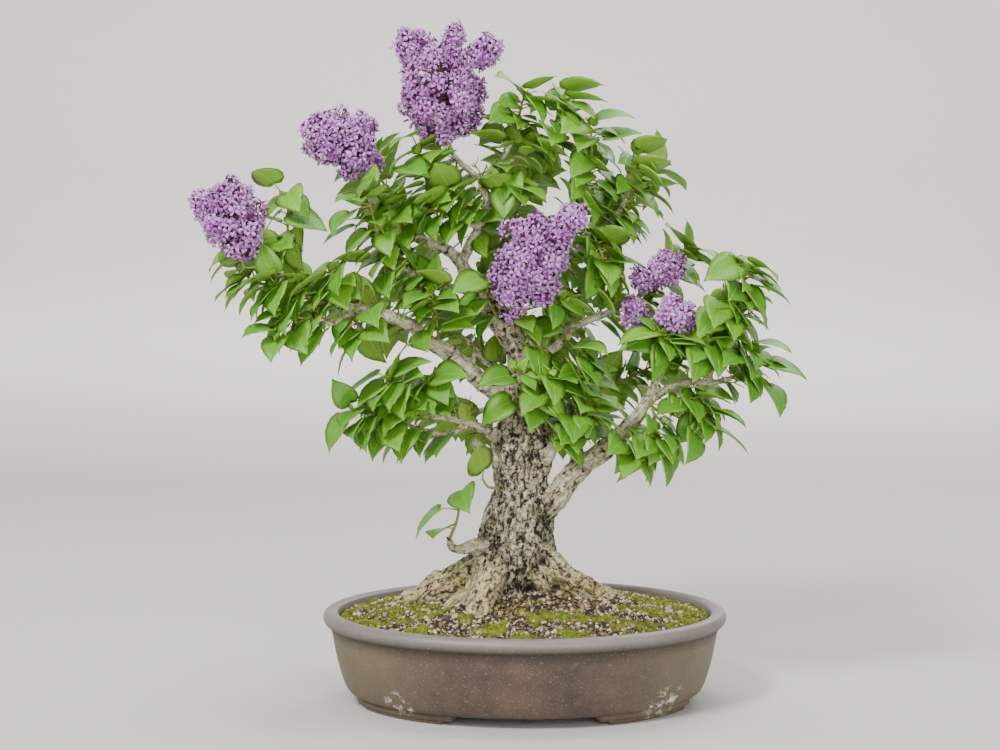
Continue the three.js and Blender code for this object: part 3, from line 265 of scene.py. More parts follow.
def scattered(name, tree, shapes, spots, material):
    """Piece of shapes stood on spots: each spot is (place, quaternion, size, kind, tint)."""
    piece = mesh_object(name, [spot[0] for spot in spots], [])
    mesh = piece.data
    set_attribute(mesh, "turn", "QUATERNION", [tuple(spot[1]) for spot in spots])
    set_attribute(mesh, "size", "FLOAT_VECTOR", [np.ones(3) * spot[2] for spot in spots])
    set_attribute(mesh, "kind", "INT", [spot[3] for spot in spots])
    set_attribute(mesh, "tint", "FLOAT", [spot[4] for spot in spots])
    values = {f"Shape {index}": shape for index, shape in enumerate(shapes)}
    run_tree(piece, tree, {**values, "Material": material})
    return piece


def stemmed(name, lines, sides, material):
    """Piece of round stems: each line is (points, radii, tint), in millimetres."""
    points, edges, radii, tints = [], [], [], []
    for line, thick, tint in lines:
        first = len(points)
        points.extend(line)
        radii.extend(np.broadcast_to(thick, len(line)) * MM)
        tints.extend([tint] * len(line))
        edges.extend((first + at, first + at + 1) for at in range(len(line) - 1))
    piece = mesh_object(name, points, [])
    mesh = piece.data
    mesh.clear_geometry()
    mesh.from_pydata([tuple(p) for p in np.asarray(points) * MM], edges, [])
    set_attribute(mesh, "thick", "FLOAT", radii)
    set_attribute(mesh, "tint", "FLOAT", tints)
    run_tree(piece, stem_tree(), {"Sides": sides, "Material": material})
    return piece


def settle(piece, slot_name, *nodes):
    """Fixes a finished piece to the part, with the nodes that it stands for."""
    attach(piece, "root")
    if nodes:
        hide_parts(*nodes)


# Wood: points are (column, row, depth) in the front view, then the radii in millimetres

TRUNK = [
    ((512, 611, 0), 27, 26), ((515, 562, 0), 37, 35), ((516, 540, 0), 39, 36),
    ((518.5, 520, 0), 36, 33), ((521, 500, 0), 29, 28), ((521.5, 480, 0), 27, 26),
    ((522, 460, 0), 31, 28), ((522, 443, 0), 32, 28), ((523.5, 424, 0), 24.5, 24),
    ((521.5, 402, 0), 19, 19), ((521, 360, 0), 14, 14), ((515, 341, 0), 14, 14),
    ((501, 320, 0), 14.5, 14), ((487, 304, 0), 13.5, 13), ((466, 274, 2), 8, 8),
    ((460, 258, 3), 6.2, 6.2),
]

ROOTS = [
    ([(494, 556, -6), (470, 575, -8), (445, 587, -4), (418, 597, 4), (400, 604, 10), (384, 613, 14)],
     [24, 19, 17, 11, 8, 4]),
    ([(498, 556, -18), (489, 583, -36), (482, 603, -52), (477, 617, -64), (472, 629, -74)],
     [18, 15, 12.5, 10, 5]),
    ([(528, 543, -14), (556, 566, -18), (585, 589, -10), (609, 602, 0), (628, 612, 6)],
     [17, 12.5, 11, 8.5, 4]),
    ([(524, 566, -16), (545, 584, -20), (566, 597, -14), (582, 608, -14)],
     [14, 10.5, 9, 4]),
    ([(540, 560, 12), (572, 583, 18), (600, 592, 24), (624, 600, 30)],
     [16, 11, 8, 4]),
    ([(500, 560, -16), (472, 590, -26), (452, 606, -34), (438, 619, -38)],
     [14, 9.5, 7, 3.5]),
]

# Roots behind, out of the photo: (bearing in degrees, reach); along each the share of its reach, the height
# above the soil and the radius, in millimetres
BACK_ROOTS = [(62, 92), (98, 100), (138, 104)]
BACK_ROOT_STEPS = [(0, 16, 17), (0.36, 7, 12.5), (0.62, 2, 9), (0.85, -2, 6.5), (1, -7, 4)]
ROOT_HEART = (515, 575, 0)

# Limbs: the places, then the radius at the first and at the last
LIMBS = {
    "left": ([(516, 402, 0), (487, 387, -6), (458, 361, -14), (430, 341, -22), (406, 323, -30),
        (381, 314, -36), (355, 309, -40)], 10, 5.2),
    "leftEnd": ([(358, 309, -40), (322, 302, -48), (293, 288, -52), (268, 264, -55)], 4.6, 2.6),
    "leftFork": ([(374, 313, -37), (350, 316, -50), (335, 323, -58), (320, 324, -64)], 4, 2.6),
    "brokenTwig": ([(470, 374, -10), (474, 353, -14)], 3.4, 2.4),
    "leaderLeft": ([(461, 264, 3), (448, 251, 4), (424, 241, 8), (408, 235, 10)], 6, 4),
    "upperLeftStem": ([(411, 237, 9), (400, 224, 10), (385, 205, 8)], 3.6, 2.6),
    "thinLeft": ([(472, 294, 0), (446, 285, -10), (424, 277, -16), (402, 268, -20),
        (388, 258, -24)], 3.6, 2.4),
    "leaderRight": ([(461, 266, 3), (471, 242, 0), (477, 233, -2), (487, 200, -6), (482, 186, -6),
        (481, 175, -4)], 5.4, 3.6),
    "topLeft": ([(482, 182, -5), (456, 158, -4), (448, 141, -3)], 3.3, 2.6),
    "topRight": ([(482, 182, -5), (500, 164, 2), (515, 132, 6)], 3.2, 2.4),
    "topFarRight": ([(500, 165, 2), (530, 150, 8), (550, 136, 6)], 2.9, 2.4),
    "thinUpper": ([(479, 228, -2), (453, 217, -12), (435, 207, -20)], 2.9, 2.3),
    "lowerLeft": ([(505, 438, -6), (486, 429, -12), (467, 422, -18), (447, 418, -28), (430, 416, -36),
        (414, 412, -44)], 4.4, 2.5),
    "lowerLeftFork": ([(468, 423, -18), (447, 435, -26), (424, 430, -34), (408, 425, -42)], 3.2, 2.4),
    "leftStub": ([(502, 463, -8), (485, 452, -18), (472, 441, -24)], 8, 4.4),
    "rightStub": ([(534, 464, -10), (549, 453, -22), (553, 441, -26)], 8, 4.6),
    "rightTwig": ([(552, 446, -24), (560, 439, -30), (568, 436, -34)], 2.9, 2.3),
    "right": ([(528, 530, 0), (551, 502, -8), (573, 475, -16), (601, 451, -22), (617, 438, -26),
        (630, 425, -28), (641, 411, -30), (649, 398, -30)], 14, 5.6),
    "rightUp": ([(646, 403, -30), (655, 383, -34), (662, 372, -38), (667, 346, -42)], 4, 2.4),
    "rightOut": ([(645, 405, -30), (665, 390, -32), (690, 382, -36), (710, 383, -38),
        (732, 378, -40)], 5, 2.8),
    "rightRise": ([(708, 383, -38), (718, 352, -44), (726, 322, -48), (735, 297, -50)], 2.9, 2.3),
    "rightVertical": ([(578, 474, -14), (575, 440, -10), (570, 415, -8), (575, 398, -8)], 7, 3.4),
    "middleRight": ([(520, 374, 0), (536, 361, 2), (547, 352, 4), (563, 341, 8), (574, 326, 10),
        (602, 315, 14), (625, 308, 16), (650, 300, 16)], 6.4, 2.8),
    "centreStem": ([(530, 364, -4), (533, 348, -16), (527, 332, -28), (519, 318, -38)], 3.2, 2.4),
    "upperRight": ([(484, 306, 0), (520, 286, 14), (560, 260, 22), (593, 236, 22), (613, 220, 18),
        (625, 200, 12), (629, 185, 8)], 5.8, 2.6),
    "upperRightUp": ([(560, 260, 22), (572, 225, 14), (585, 195, 6), (589, 180, 2)], 3.4, 2.4),
    "rightBloomStem": ([(661, 375, -38), (673, 353, -34), (672, 338, -38)], 2.8, 2.4),
    "basalStub": ([(496, 547, -16), (475, 545, -28), (463, 549, -32), (453, 548, -34),
        (449, 539, -34)], 8, 3.0),
    "basalEnd": ([(464, 549, -32), (456, 549, -35), (450, 544, -38), (447, 536, -39)], 4.6, 1.4),
    "backRight": ([(522, 404, 4), (532, 372, 40), (548, 340, 66), (566, 312, 84)], 6, 2.8),
    "backLeft": ([(515, 392, 4), (492, 366, 42), (462, 338, 68), (432, 312, 86)], 6, 2.8),
    "backTop": ([(484, 303, 4), (492, 268, 36), (506, 232, 62), (520, 200, 78)], 4.6, 2.6),
    "backLowRight": ([(532, 454, 6), (556, 428, 44), (586, 404, 70), (618, 384, 84)], 6.4, 2.8),
    "backLowLeft": ([(510, 446, 6), (478, 428, 44), (446, 412, 70)], 5.2, 2.8),
    "backFarLeft": ([(436, 345, -20), (410, 326, 24), (370, 308, 56), (330, 298, 78)], 4.4, 2.6),
    "backFarRight": ([(563, 259, 22), (600, 226, 50), (625, 206, 70)], 3.6, 2.5),
    "backUpLeft": ([(428, 242, 8), (410, 222, 36), (396, 206, 60)], 3.6, 2.5),
}

# Read off the front view: hollows, knots and stains as (column, row, reach, how dark, how raised); the dark
# of the hollows is painted shade
WOOD_MARKS = [
    (486, 530, 12, 0.25, 6.0), (480, 520, 5, 0.6, 0), (545, 518, 9, 0.75, -1.5), (549, 506, 6, 0.7, -1),
    (543, 563, 5, 1.0, -5), (519, 576, 6, 1.0, -6), (516, 588, 6, 1.0, -4), (557, 589, 9, 1.0, -4),
    (530, 592, 9, 0.8, -4), (536, 548, 9, 0.0, 3), (566, 568, 7, 0.0, 2), (535, 455, 6, 0.8, -1.5),
    (552, 462, 4, 0.7, 0), (580, 466, 4, 0.8, 0), (578, 460, 3, 0.7, 0), (566, 482, 2, 0.8, 0),
    (612, 450, 4, 0.7, 0), (627, 427, 3, 0.8, 0), (503, 560, 5, 0.5, 0), (548, 455, 8, 0.0, 3),
    (498, 446, 4, 0.5, 0), (537, 440, 6, 0.6, -1), (560, 565, 1.8, 1.0, -1), (569, 574, 1.8, 1.0, -1),
    (506, 486, 4, 0.5, 0), (501, 496, 2.5, 0.9, -1), (465, 590, 8, 0.4, 0),
    (475, 542, 4, 0.3, 2.6), (466, 552, 3, 0.5, 1.6), (482, 552, 4, 0.6, 1.2), (448, 538, 3, 0.9, 0),
]
# Scars read off the front view, as lines of (column, row): dark grooves, their darkness partly painted shade
WOOD_SCARS = [
    [(519, 538), (524, 534), (531, 532), (539, 534), (544, 540)],
    [(513, 516), (518, 508), (524, 502), (531, 499)],
    [(508, 528), (512, 518), (519, 513)],
    [(546, 528), (543, 516), (547, 502), (553, 494)],
    [(522, 548), (517, 560), (516, 575)],
]

# Blooms: a stalk, and lobes given by (from, to, radius, where it is fullest)
PANICLES = {
    "panicle_top": ([(448, 141, -3), (445, 120, -5)], [
        ((440, 140, -4), (442, 32, -6), 45, 0.6),
        ((414, 66, -12), (400, 26, -14), 15, 0.5),
        ((450, 60, -8), (457, 20, -10), 12, 0.5),
        ((474, 66, 6), (501, 36, 6), 15, 0.5),
    ]),
    "panicle_upper_left": ([(385, 205, 8), (374, 172, 4), (360, 155, 0)], [
        ((375, 168, 2), (303, 116, -6), 28, 0.5),
        ((350, 142, 6), (376, 114, 6), 15, 0.5),
    ]),
    "panicle_far_left": ([(268, 264, -55), (248, 244, -56)], [
        ((244, 260, -54), (221, 176, -60), 30, 0.5),
        ((216, 222, -62), (193, 190, -64), 13, 0.5),
    ]),
    "panicle_centre": ([(519, 318, -38), (520, 300, -48)], [
        ((511, 308, -46), (549, 214, -56), 35, 0.5),
        ((554, 240, -56), (585, 200, -58), 15, 0.5),
    ]),
    "panicle_right_upper": ([(650, 300, 16), (658, 284, -4), (663, 273, -14)], [
        ((654, 282, -10), (680, 252, -20), 19, 0.5),
        ((652, 282, -8), (628, 276, -14), 11, 0.5),
    ]),
    "panicle_right_lower": ([(672, 338, -38), (670, 322, -46)], [
        ((659, 326, -46), (690, 302, -52), 20, 0.5),
    ]),
    "panicle_right_spent": ([(628, 308, 16), (634, 314, -6)], [
        ((642, 326, -18), (624, 300, -18), 14, 0.5),
    ]),
}

# Leafy shoots: the shoot's points, how many pairs stand by rule, and the leaves read off the view
SPRAYS = {
    "spray_far_left": ([(270, 265, -54), (286, 244, -44), (288, 200, -46)], 0, [
        (275, 240, 296, 255), (290, 215, 328, 232), (288, 192, 301, 213), (274, 184, 252, 171)]),
    "spray_far_left_low": ([(285, 281, -53), (262, 284, -48), (243, 272, -38), (238, 250, -26)], 1, [
        (233, 259, 203, 276), (240, 282, 214, 303)]),
    "spray_left_low": ([(300, 293, -51), (288, 295, -62), (276, 285, -70)], 0, [
        (270, 277, 240, 288), (273, 292, 251, 322), (262, 302, 237, 317)]),
    "spray_left_mid": ([(346, 308, -42), (340, 285, -52), (335, 268, -58)], 0, [
        (323, 277, 283, 304), (337, 285, 349, 312)]),
    "spray_left_hang": ([(321, 324, -64), (303, 318, -72), (283, 318, -78)], 0, [
        (292, 309, 286, 336), (273, 329, 253, 346), (279, 336, 271, 364), (296, 329, 298, 356)]),
    "spray_left_inner": ([(350, 316, -50), (356, 322, -58), (362, 332, -64)], 0, [
        (359, 334, 352, 361), (369, 310, 379, 329)]),
    "spray_upper_left": ([(388, 258, -24), (376, 228, -34), (368, 196, -40)], 0, [
        (374, 176, 358, 200), (381, 194, 349, 206), (350, 212, 331, 236), (354, 226, 322, 245),
        (364, 260, 330, 263), (385, 273, 390, 300)]),
    "spray_upper_mid": ([(408, 235, 10), (396, 222, -4), (390, 202, -10)], 0, [
        (380, 208, 386, 240), (405, 227, 410, 250)]),
    "spray_under_top": ([(435, 207, -20), (428, 184, -26), (419, 152, -28)], 0, [
        (412, 136, 389, 150), (404, 164, 430, 178), (438, 216, 437, 242), (441, 150, 432, 173)]),
    "spray_crown_left": ([(484, 212, -6), (466, 204, -20), (450, 196, -28)], 0, [
        (439, 199, 405, 200), (466, 186, 444, 191), (477, 205, 461, 227)]),
    "spray_heart": ([(440, 347, -20), (436, 318, -36), (432, 292, -44)], 1, [
        (443, 284, 415, 272), (446, 319, 479, 315), (423, 330, 418, 353), (424, 308, 402, 322)]),
    "spray_low_left": ([(414, 412, -44), (406, 396, -54), (393, 380, -60)], 0, [
        (378, 374, 340, 404), (388, 388, 373, 412), (396, 372, 433, 362)]),
    "spray_low_left_inner": ([(442, 417, -30), (436, 398, -44), (430, 382, -50)], 0, [
        (434, 376, 470, 377), (424, 388, 436, 417)]),
    "spray_low_left_out": ([(408, 425, -42), (382, 416, -54), (354, 412, -60)], 0, [
        (361, 420, 353, 440), (345, 417, 329, 454), (370, 424, 367, 453), (390, 428, 400, 453)]),
    "spray_front": ([(527, 408, -14), (523, 388, -34), (518, 370, -44)], 0, [
        (512, 376, 476, 388), (512, 401, 481, 428)]),
    "spray_front_right": ([(536, 424, -16), (545, 400, -36), (549, 376, -46)], 0, [
        (541, 394, 564, 423), (556, 380, 578, 384)]),
    "spray_right_inner": ([(568, 436, -34), (578, 420, -44), (588, 402, -50)], 0, [
        (575, 417, 573, 445), (590, 415, 626, 437), (594, 398, 618, 408)]),
    "spray_right_heart": ([(575, 399, -8), (579, 378, -26), (581, 356, -36)], 0, [
        (584, 378, 621, 393), (578, 348, 609, 356)]),
    "spray_trunk_side": ([(498, 488, -14), (488, 487, -22), (482, 478, -24)], 0, [
        (484, 470, 478, 446)]),
    "spray_basal": ([(449, 540, -34), (457, 520, -40), (460, 500, -44)], 0, [
        (462, 490, 470, 514), (440, 509, 415, 541), (446, 528, 423, 539)]),
    "spray_leader": ([(499, 320, -8), (490, 304, -26), (484, 291, -36)], 0, [
        (482, 278, 466, 303)]),
    "spray_under_centre": ([(565, 338, 6), (562, 318, -20), (558, 300, -34)], 0, [
        (555, 292, 555, 326), (572, 304, 598, 318)]),
    "spray_right_upper": ([(593, 237, 20), (602, 254, 0), (604, 274, -12)], 0, [
        (612, 261, 654, 275), (596, 234, 615, 249), (594, 290, 616, 323)]),
    "spray_crown_mid": ([(499, 165, 0), (508, 178, -14), (514, 190, -20)], 1, [
        (520, 187, 546, 201), (500, 188, 486, 178)]),
    "spray_right_top": ([(735, 298, -50), (742, 284, -56), (747, 270, -60)], 0, [
        (739, 264, 703, 282), (753, 264, 778, 282), (755, 279, 791, 306), (738, 294, 751, 312)]),
    "spray_right_mid": ([(726, 324, -47), (728, 312, -56), (729, 302, -60)], 0, [
        (720, 301, 713, 330), (733, 314, 765, 331), (716, 316, 696, 338)]),
    "spray_right_out": ([(732, 378, -40), (744, 366, -50), (754, 350, -54)], 0, [
        (758, 342, 793, 354), (768, 364, 808, 381), (749, 376, 750, 404), (768, 384, 780, 418),
        (742, 356, 722, 368)]),
    "spray_right_crown": ([(714, 366, -42), (708, 352, -52), (704, 340, -58)], 0, [
        (714, 346, 720, 372), (698, 352, 692, 384)]),
    "spray_right_hang": ([(697, 384, -37), (703, 406, -50), (704, 424, -58)], 0, [
        (694, 433, 685, 465), (714, 428, 749, 455), (716, 412, 745, 424)]),
    "spray_limb_hang": ([(650, 399, -34), (656, 425, -48), (660, 442, -56)], 0, [
        (663, 452, 666, 488), (650, 440, 636, 460)]),
    "spray_limb_low": ([(631, 424, -32), (634, 438, -44), (632, 448, -48)], 0, [
        (633, 454, 622, 480), (622, 440, 606, 456)]),
    "spray_limb_front": ([(668, 389, -34), (682, 396, -48), (690, 402, -54)], 0, [
        (682, 404, 656, 416), (684, 388, 712, 392)]),
    "spray_right_bloom": ([(667, 346, -42), (664, 340, -50), (662, 334, -54)], 0, [
        (660, 346, 651, 384), (656, 332, 617, 346)]),
    "spray_right_back": ([(640, 303, 16), (668, 272, 18), (688, 252, 12)], 0, [
        (692, 250, 718, 262), (684, 244, 662, 238)]),
    "spray_crown_right": ([(515, 132, 6), (520, 112, 0), (524, 96, -4)], 0, [
        (518, 90, 494, 76), (530, 88, 558, 76), (530, 102, 569, 106), (512, 112, 488, 124),
        (526, 122, 541, 142)]),
    "spray_upper_right": ([(589, 180, 2), (592, 150, -6), (590, 124, -10)], 0, [
        (597, 119, 636, 119), (604, 138, 643, 134), (582, 122, 560, 134)]),
    "spray_far_right": ([(629, 185, 8), (632, 170, 2), (634, 152, -2)], 0, [
        (640, 150, 669, 139), (642, 168, 672, 161), (634, 190, 649, 204)]),
    "spray_crown_far_right": ([(550, 136, 6), (557, 118, 0), (562, 102, -4)], 0, [
        (570, 97, 610, 103), (562, 122, 584, 142), (548, 122, 528, 136), (566, 90, 606, 86)]),
    "spray_back_right": ([(566, 312, 84), (572, 290, 96), (578, 262, 102)], 2, []),
    "spray_back_left": ([(432, 312, 86), (424, 290, 98), (414, 264, 102)], 2, []),
    "spray_back_top": ([(520, 200, 78), (524, 172, 88), (526, 140, 94)], 2, []),
    "spray_back_low_right": ([(618, 384, 84), (640, 372, 94), (662, 362, 98)], 2, []),
    "spray_back_low_left": ([(446, 412, 70), (424, 398, 86), (404, 390, 94)], 2, []),
    "spray_back_far_left": ([(330, 298, 78), (306, 284, 88), (280, 272, 92)], 2, []),
    "spray_back_far_right": ([(625, 206, 70), (644, 184, 84), (658, 164, 92)], 2, []),
    "spray_back_up_left": ([(396, 206, 60), (384, 184, 76), (372, 160, 84)], 2, []),
}

# Settings: the sizes and colours that a user would change

def colour_setting(name, where, value):
    """A colour that starts at an sRGB hex value."""
    return bpy.props.FloatVectorProperty(
        name=name, description=f"Colour of {where}", subtype="COLOR", size=3, default=linear(value))


def length_setting(name, what, start, least, most):
    """A length that is given in millimetres here and stored in metres."""
    return bpy.props.FloatProperty(
        name=name, description=what, default=start * MM, min=least * MM, max=most * MM, precision=5,
        subtype="DISTANCE", unit="LENGTH")


class PotSettings(bpy.types.PropertyGroup):
    clay: colour_setting("Clay", "the unglazed wall", "#54443a")
    # the lip, paler than the wall: kiln-flashed clay, and partly a painted highlight
    lip: colour_setting("Lip", "the lip, where the kiln has flashed the clay", "#857a76")
    crust: colour_setting("Crust", "the lime that water leaves at the feet", "#e8e4da")
    sides: bpy.props.IntProperty(
        name="Sides", description="Facets round the pot", default=176, min=24, max=400)


class WoodSettings(bpy.types.PropertyGroup):
    bark: colour_setting("Bark", "the raised bark", "#cdc2a4")
    # the fissure colour fills the cracks, scars and hollows: the bark's own dark cracks, and painted shade
    fissure_and_shade: colour_setting("Fissure", "the cracks of the bark", "#2e251b")
    root: colour_setting("Root", "the weathered surface roots", "#e2cda2")
    voxel: length_setting("Grain of the mesh", "Edge of a facet of the wood", 1.75, 0.5, 5)


class LeafSettings(bpy.types.PropertyGroup):
    # high leaves lean to this colour too, partly as painted light on the top of the crown
    lit: colour_setting("Young leaf", "the youngest leaves", "#8fcb35")
    grown: colour_setting("Grown leaf", "the grown leaves", "#529226")
    under: colour_setting("Underside", "the leaves' undersides", "#86ac3c")
    stalk: colour_setting("Stalk", "shoots and leaf stalks", "#97a63c")


class BloomSettings(bpy.types.PropertyGroup):
    petal: colour_setting("Petal", "the petals' faces", "#cf74e0")
    edge: colour_setting("Petal tip", "the petals' tips", "#fbd8ff")
    bud: colour_setting("Bud", "buds and of the florets' tubes", "#983582")
    floret: length_setting("Floret", "Width of an open floret", 13.0, 4, 20)


class SoilSettings(bpy.types.PropertyGroup):
    earth: colour_setting("Earth", "the soil between the grit", "#3a2e22")
    moss: colour_setting("Moss", "the moss", "#a3ae3a")
    grit: colour_setting("Grit", "the palest grit", "#ead9bc")
    stones: bpy.props.IntProperty(
        name="Stones", description="How many pieces of grit lie on the soil", default=5200, min=0, max=12000)
    sprigs: bpy.props.IntProperty(
        name="Sprigs", description="How many places are tried for a sprig of moss", default=15000, min=0,
        max=40000)


class StageSettings(bpy.types.PropertyGroup):
    floor: colour_setting("Floor", "the plain floor", "#dbd9d4")


# Materials

RGBA = {"data_type": "RGBA"}


def per_mm(size):
    """Noise scale whose lumps are about a size in millimetres across."""
    return 0.6 / (size * MM)


def toned(colour, share=1.0):
    """A linear colour made darker or lighter, with its alpha."""
    return (*(min(1.0, part * share) for part in colour[:3]), 1.0)


def surface(name):
    """A material, its shader, the way to add its nodes, and the place on the object in metres."""
    material = bpy.data.materials.new(name)
    material.use_nodes = True
    tree = material.node_tree
    add = partial(add_node, tree)
    return material, tree.nodes["Principled BSDF"], add, add("ShaderNodeTexCoord").outputs["Object"]


def stoneware_material(settings):
    """Unglazed stoneware, fired dull: clouded and fine-grained with pale grains showing, a smoother lip
    that the kiln has flashed grey and that is lighter on its upper half as a painted highlight, painted shade
    in the corner under the lip, and lime that water has left round the feet."""
    material, shader, add, place = surface("unglazed stoneware")
    apart = add("ShaderNodeSeparateXYZ", sockets={0: place})
    clay = settings.clay
    cloud = add("ShaderNodeTexNoise", sockets={
        "Vector": place, "Scale": per_mm(26), "Detail": 6.0, "Roughness": 0.68})
    wall = add("ShaderNodeValToRGB", {"stops": [
        (0.36, toned(clay, 0.72)), (0.5, toned(clay)), (0.64, toned(clay, 1.35))]}, {0: cloud})
    # the ends of the oval are a greener grey than its long sides
    across = add("ShaderNodeMath", {"operation": "SUBTRACT"}, {0: apart.outputs["X"], 1: POT_SHIFT * MM})
    away = add("ShaderNodeMath", {"operation": "ABSOLUTE"}, {0: across})
    end = add("ShaderNodeMapRange", sockets={
        "Value": away, "From Min": 70 * MM, "From Max": 200 * MM, "To Max": 0.6})
    wall = add("ShaderNodeMix", RGBA, {0: end, 6: wall, 7: toned(linear("#8d8163"))})
    # painted shade: the wall darkens in the corner under the lip
    under_lip_shade = add("ShaderNodeMapRange", sockets={
        "Value": apart.outputs["Z"], "From Min": 67 * MM, "From Max": 79 * MM, "To Max": 0.85})
    wall = add("ShaderNodeMix", RGBA, {0: under_lip_shade, 6: wall, 7: toned(clay, 0.35)})
    # the lip's colour comes in from its foot to its top, so its upper half is lighter: kiln-flashed clay and
    # a painted highlight; the same rise makes the lip smoother
    lip_and_painted_highlight = add("ShaderNodeMapRange", sockets={
        "Value": apart.outputs["Z"], "From Min": 79 * MM, "From Max": 90 * MM})
    lip = add("ShaderNodeMix", RGBA, {0: cloud, 6: toned(settings.lip, 0.75), 7: toned(settings.lip, 1.3)})
    wall = add("ShaderNodeMix", RGBA, {0: lip_and_painted_highlight, 6: wall, 7: lip})
    grain = add("ShaderNodeTexNoise", sockets={
        "Vector": place, "Scale": per_mm(1.3), "Detail": 3.0, "Roughness": 0.8})
    pale = add("ShaderNodeMapRange", sockets={
        "Value": grain, "From Min": 0.6, "From Max": 0.72, "To Max": 0.6})
    wall = add("ShaderNodeMix", RGBA, {0: pale, 6: wall, 7: toned(linear("#b3a592"))})
    dark = add("ShaderNodeMapRange", sockets={
        "Value": grain, "From Min": 0.4, "From Max": 0.28, "To Max": 0.6})
    wall = add("ShaderNodeMix", RGBA, {0: dark, 6: wall, 7: toned(clay, 0.25)})
    # lime: within reach of the front feet's tops, where splashes dry
    coat = 0.0
    for column, row, depth, reach in LIME:
        spot = tuple(seen((column, row, depth)) * MM)
        gap = add("ShaderNodeVectorMath", {"operation": "DISTANCE"}, {0: place, 1: spot})
        near = add("ShaderNodeMapRange", sockets={
            "Value": gap.outputs["Value"], "From Min": 1.3 * reach * MM, "From Max": 0.4 * reach * MM})
        coat = add("ShaderNodeMath", {"operation": "MAXIMUM"}, {0: coat, 1: near})
    flaw = add("ShaderNodeTexNoise", sockets={
        "Vector": place, "Scale": per_mm(5), "Detail": 5.0, "Roughness": 0.7})
    broken = add("ShaderNodeMapRange", sockets={"Value": flaw, "From Min": 0.5, "From Max": 0.58})
    crust = add("ShaderNodeMath", {"operation": "MULTIPLY"}, {0: coat, 1: broken})
    raised = add("ShaderNodeMath", {"operation": "MULTIPLY_ADD"}, {0: grain, 1: 0.5, 2: crust})
    plug(shader, {
        "Base Color": add("ShaderNodeMix", RGBA, {0: crust, 6: wall, 7: toned(settings.crust)}),
        "Roughness": add("ShaderNodeMapRange", sockets={"Value": lip_and_painted_highlight, "To Min": 0.62, "To Max": 0.36}),
        "Normal": add("ShaderNodeBump", sockets={"Height": raised, "Distance": 0.6 * MM}),
    })
    return material


def bark_material(settings):
    """Bark of an old lilac: cream flakes and ridges round dark pits that run with the grain, smoother and
    greyer on young limbs, and worn to warm bare wood on the roots. The cracks, scars and hollows are darkened
    partly with painted shade."""
    material, shader, add, place = surface("old lilac bark")
    crack, rooted, bulk = (
        add("ShaderNodeAttribute", {"attribute_name": name}).outputs["Fac"]
        for name in ("crack", "rooted", "bulk"))
    along = add("ShaderNodeAttribute", {"attribute_name": "grain"}).outputs["Vector"]
    flake = add("ShaderNodeTexNoise", sockets={
        "Vector": along, "Scale": 0.2, "Detail": 6.0, "Roughness": 0.7, "Distortion": 1.2})
    pore = add("ShaderNodeTexNoise", sockets={
        "Vector": place, "Scale": per_mm(3.2), "Detail": 5.0, "Roughness": 0.66, "Distortion": 0.6})
    both = add("ShaderNodeMath", {"operation": "ADD"}, {0: flake, 1: pore})
    # young limbs are smooth: their skin lies above most of the pits
    smooth = add("ShaderNodeMapRange", sockets={
        "Value": bulk, "From Min": 0.15, "From Max": 0.7, "To Min": 0.045, "To Max": -0.01})
    level = add("ShaderNodeMath", {"operation": "MULTIPLY_ADD"}, {0: both, 1: 0.5, 2: smooth})
    # cracks, scars and hollows drop the level to the dark fissure colour: the bark's own cracks, with painted
    # shade in them and in the hollows
    level = add("ShaderNodeMath", {"operation": "MULTIPLY_ADD"}, {0: crack, 1: -0.13, 2: level})
    bark, root, fissure_and_shade = settings.bark, settings.root, settings.fissure_and_shade
    dry = add("ShaderNodeValToRGB", {"stops": [
        (0.37, toned(fissure_and_shade, 0.6)), (0.41, toned(fissure_and_shade, 1.8)), (0.44, toned(bark, 0.33)),
        (0.48, toned(bark, 0.7)), (0.53, toned(bark, 1.15)), (0.61, toned(bark, 1.85))]}, {0: level})
    worn = add("ShaderNodeValToRGB", {"stops": [
        (0.35, toned(fissure_and_shade, 0.6)), (0.4, toned(root, 0.15)), (0.435, toned(root, 0.4)),
        (0.48, toned(root, 0.8)), (0.56, toned(root, 1.5))]}, {0: level})
    colour = add("ShaderNodeMix", RGBA, {0: rooted, 6: dry, 7: worn})
    # rust-coloured stains and a green bloom of algae, low down
    stain = add("ShaderNodeTexNoise", sockets={
        "Vector": place, "Scale": per_mm(11), "Detail": 4.0, "Roughness": 0.65})
    rust = add("ShaderNodeMapRange", sockets={
        "Value": stain, "From Min": 0.54, "From Max": 0.68, "To Max": 0.7})
    rusty = add("ShaderNodeMath", {"operation": "MULTIPLY"}, {0: rust, 1: rooted})
    colour = add("ShaderNodeMix", {**RGBA, "blend_type": "MULTIPLY"}, {
        0: rusty, 6: colour, 7: toned(linear("#e6b87c"))})
    height = add("ShaderNodeSeparateXYZ", sockets={0: place}).outputs["Z"]
    low = add("ShaderNodeMapRange", sockets={"Value": height, "From Min": 300 * MM, "From Max": 120 * MM})
    alga = add("ShaderNodeMapRange", sockets={
        "Value": stain, "From Min": 0.5, "From Max": 0.38, "To Max": 0.7})
    green = add("ShaderNodeMath", {"operation": "MULTIPLY"}, {0: low, 1: alga})
    colour = add("ShaderNodeMix", {**RGBA, "blend_type": "MULTIPLY"}, {
        0: green, 6: colour, 7: toned(linear("#c3bf7a"))})
    plug(shader, {
        "Base Color": colour, "Roughness": 0.82,
        "Normal": add("ShaderNodeBump", sockets={"Height": level, "Distance": 9 * MM}),
    })
    return material


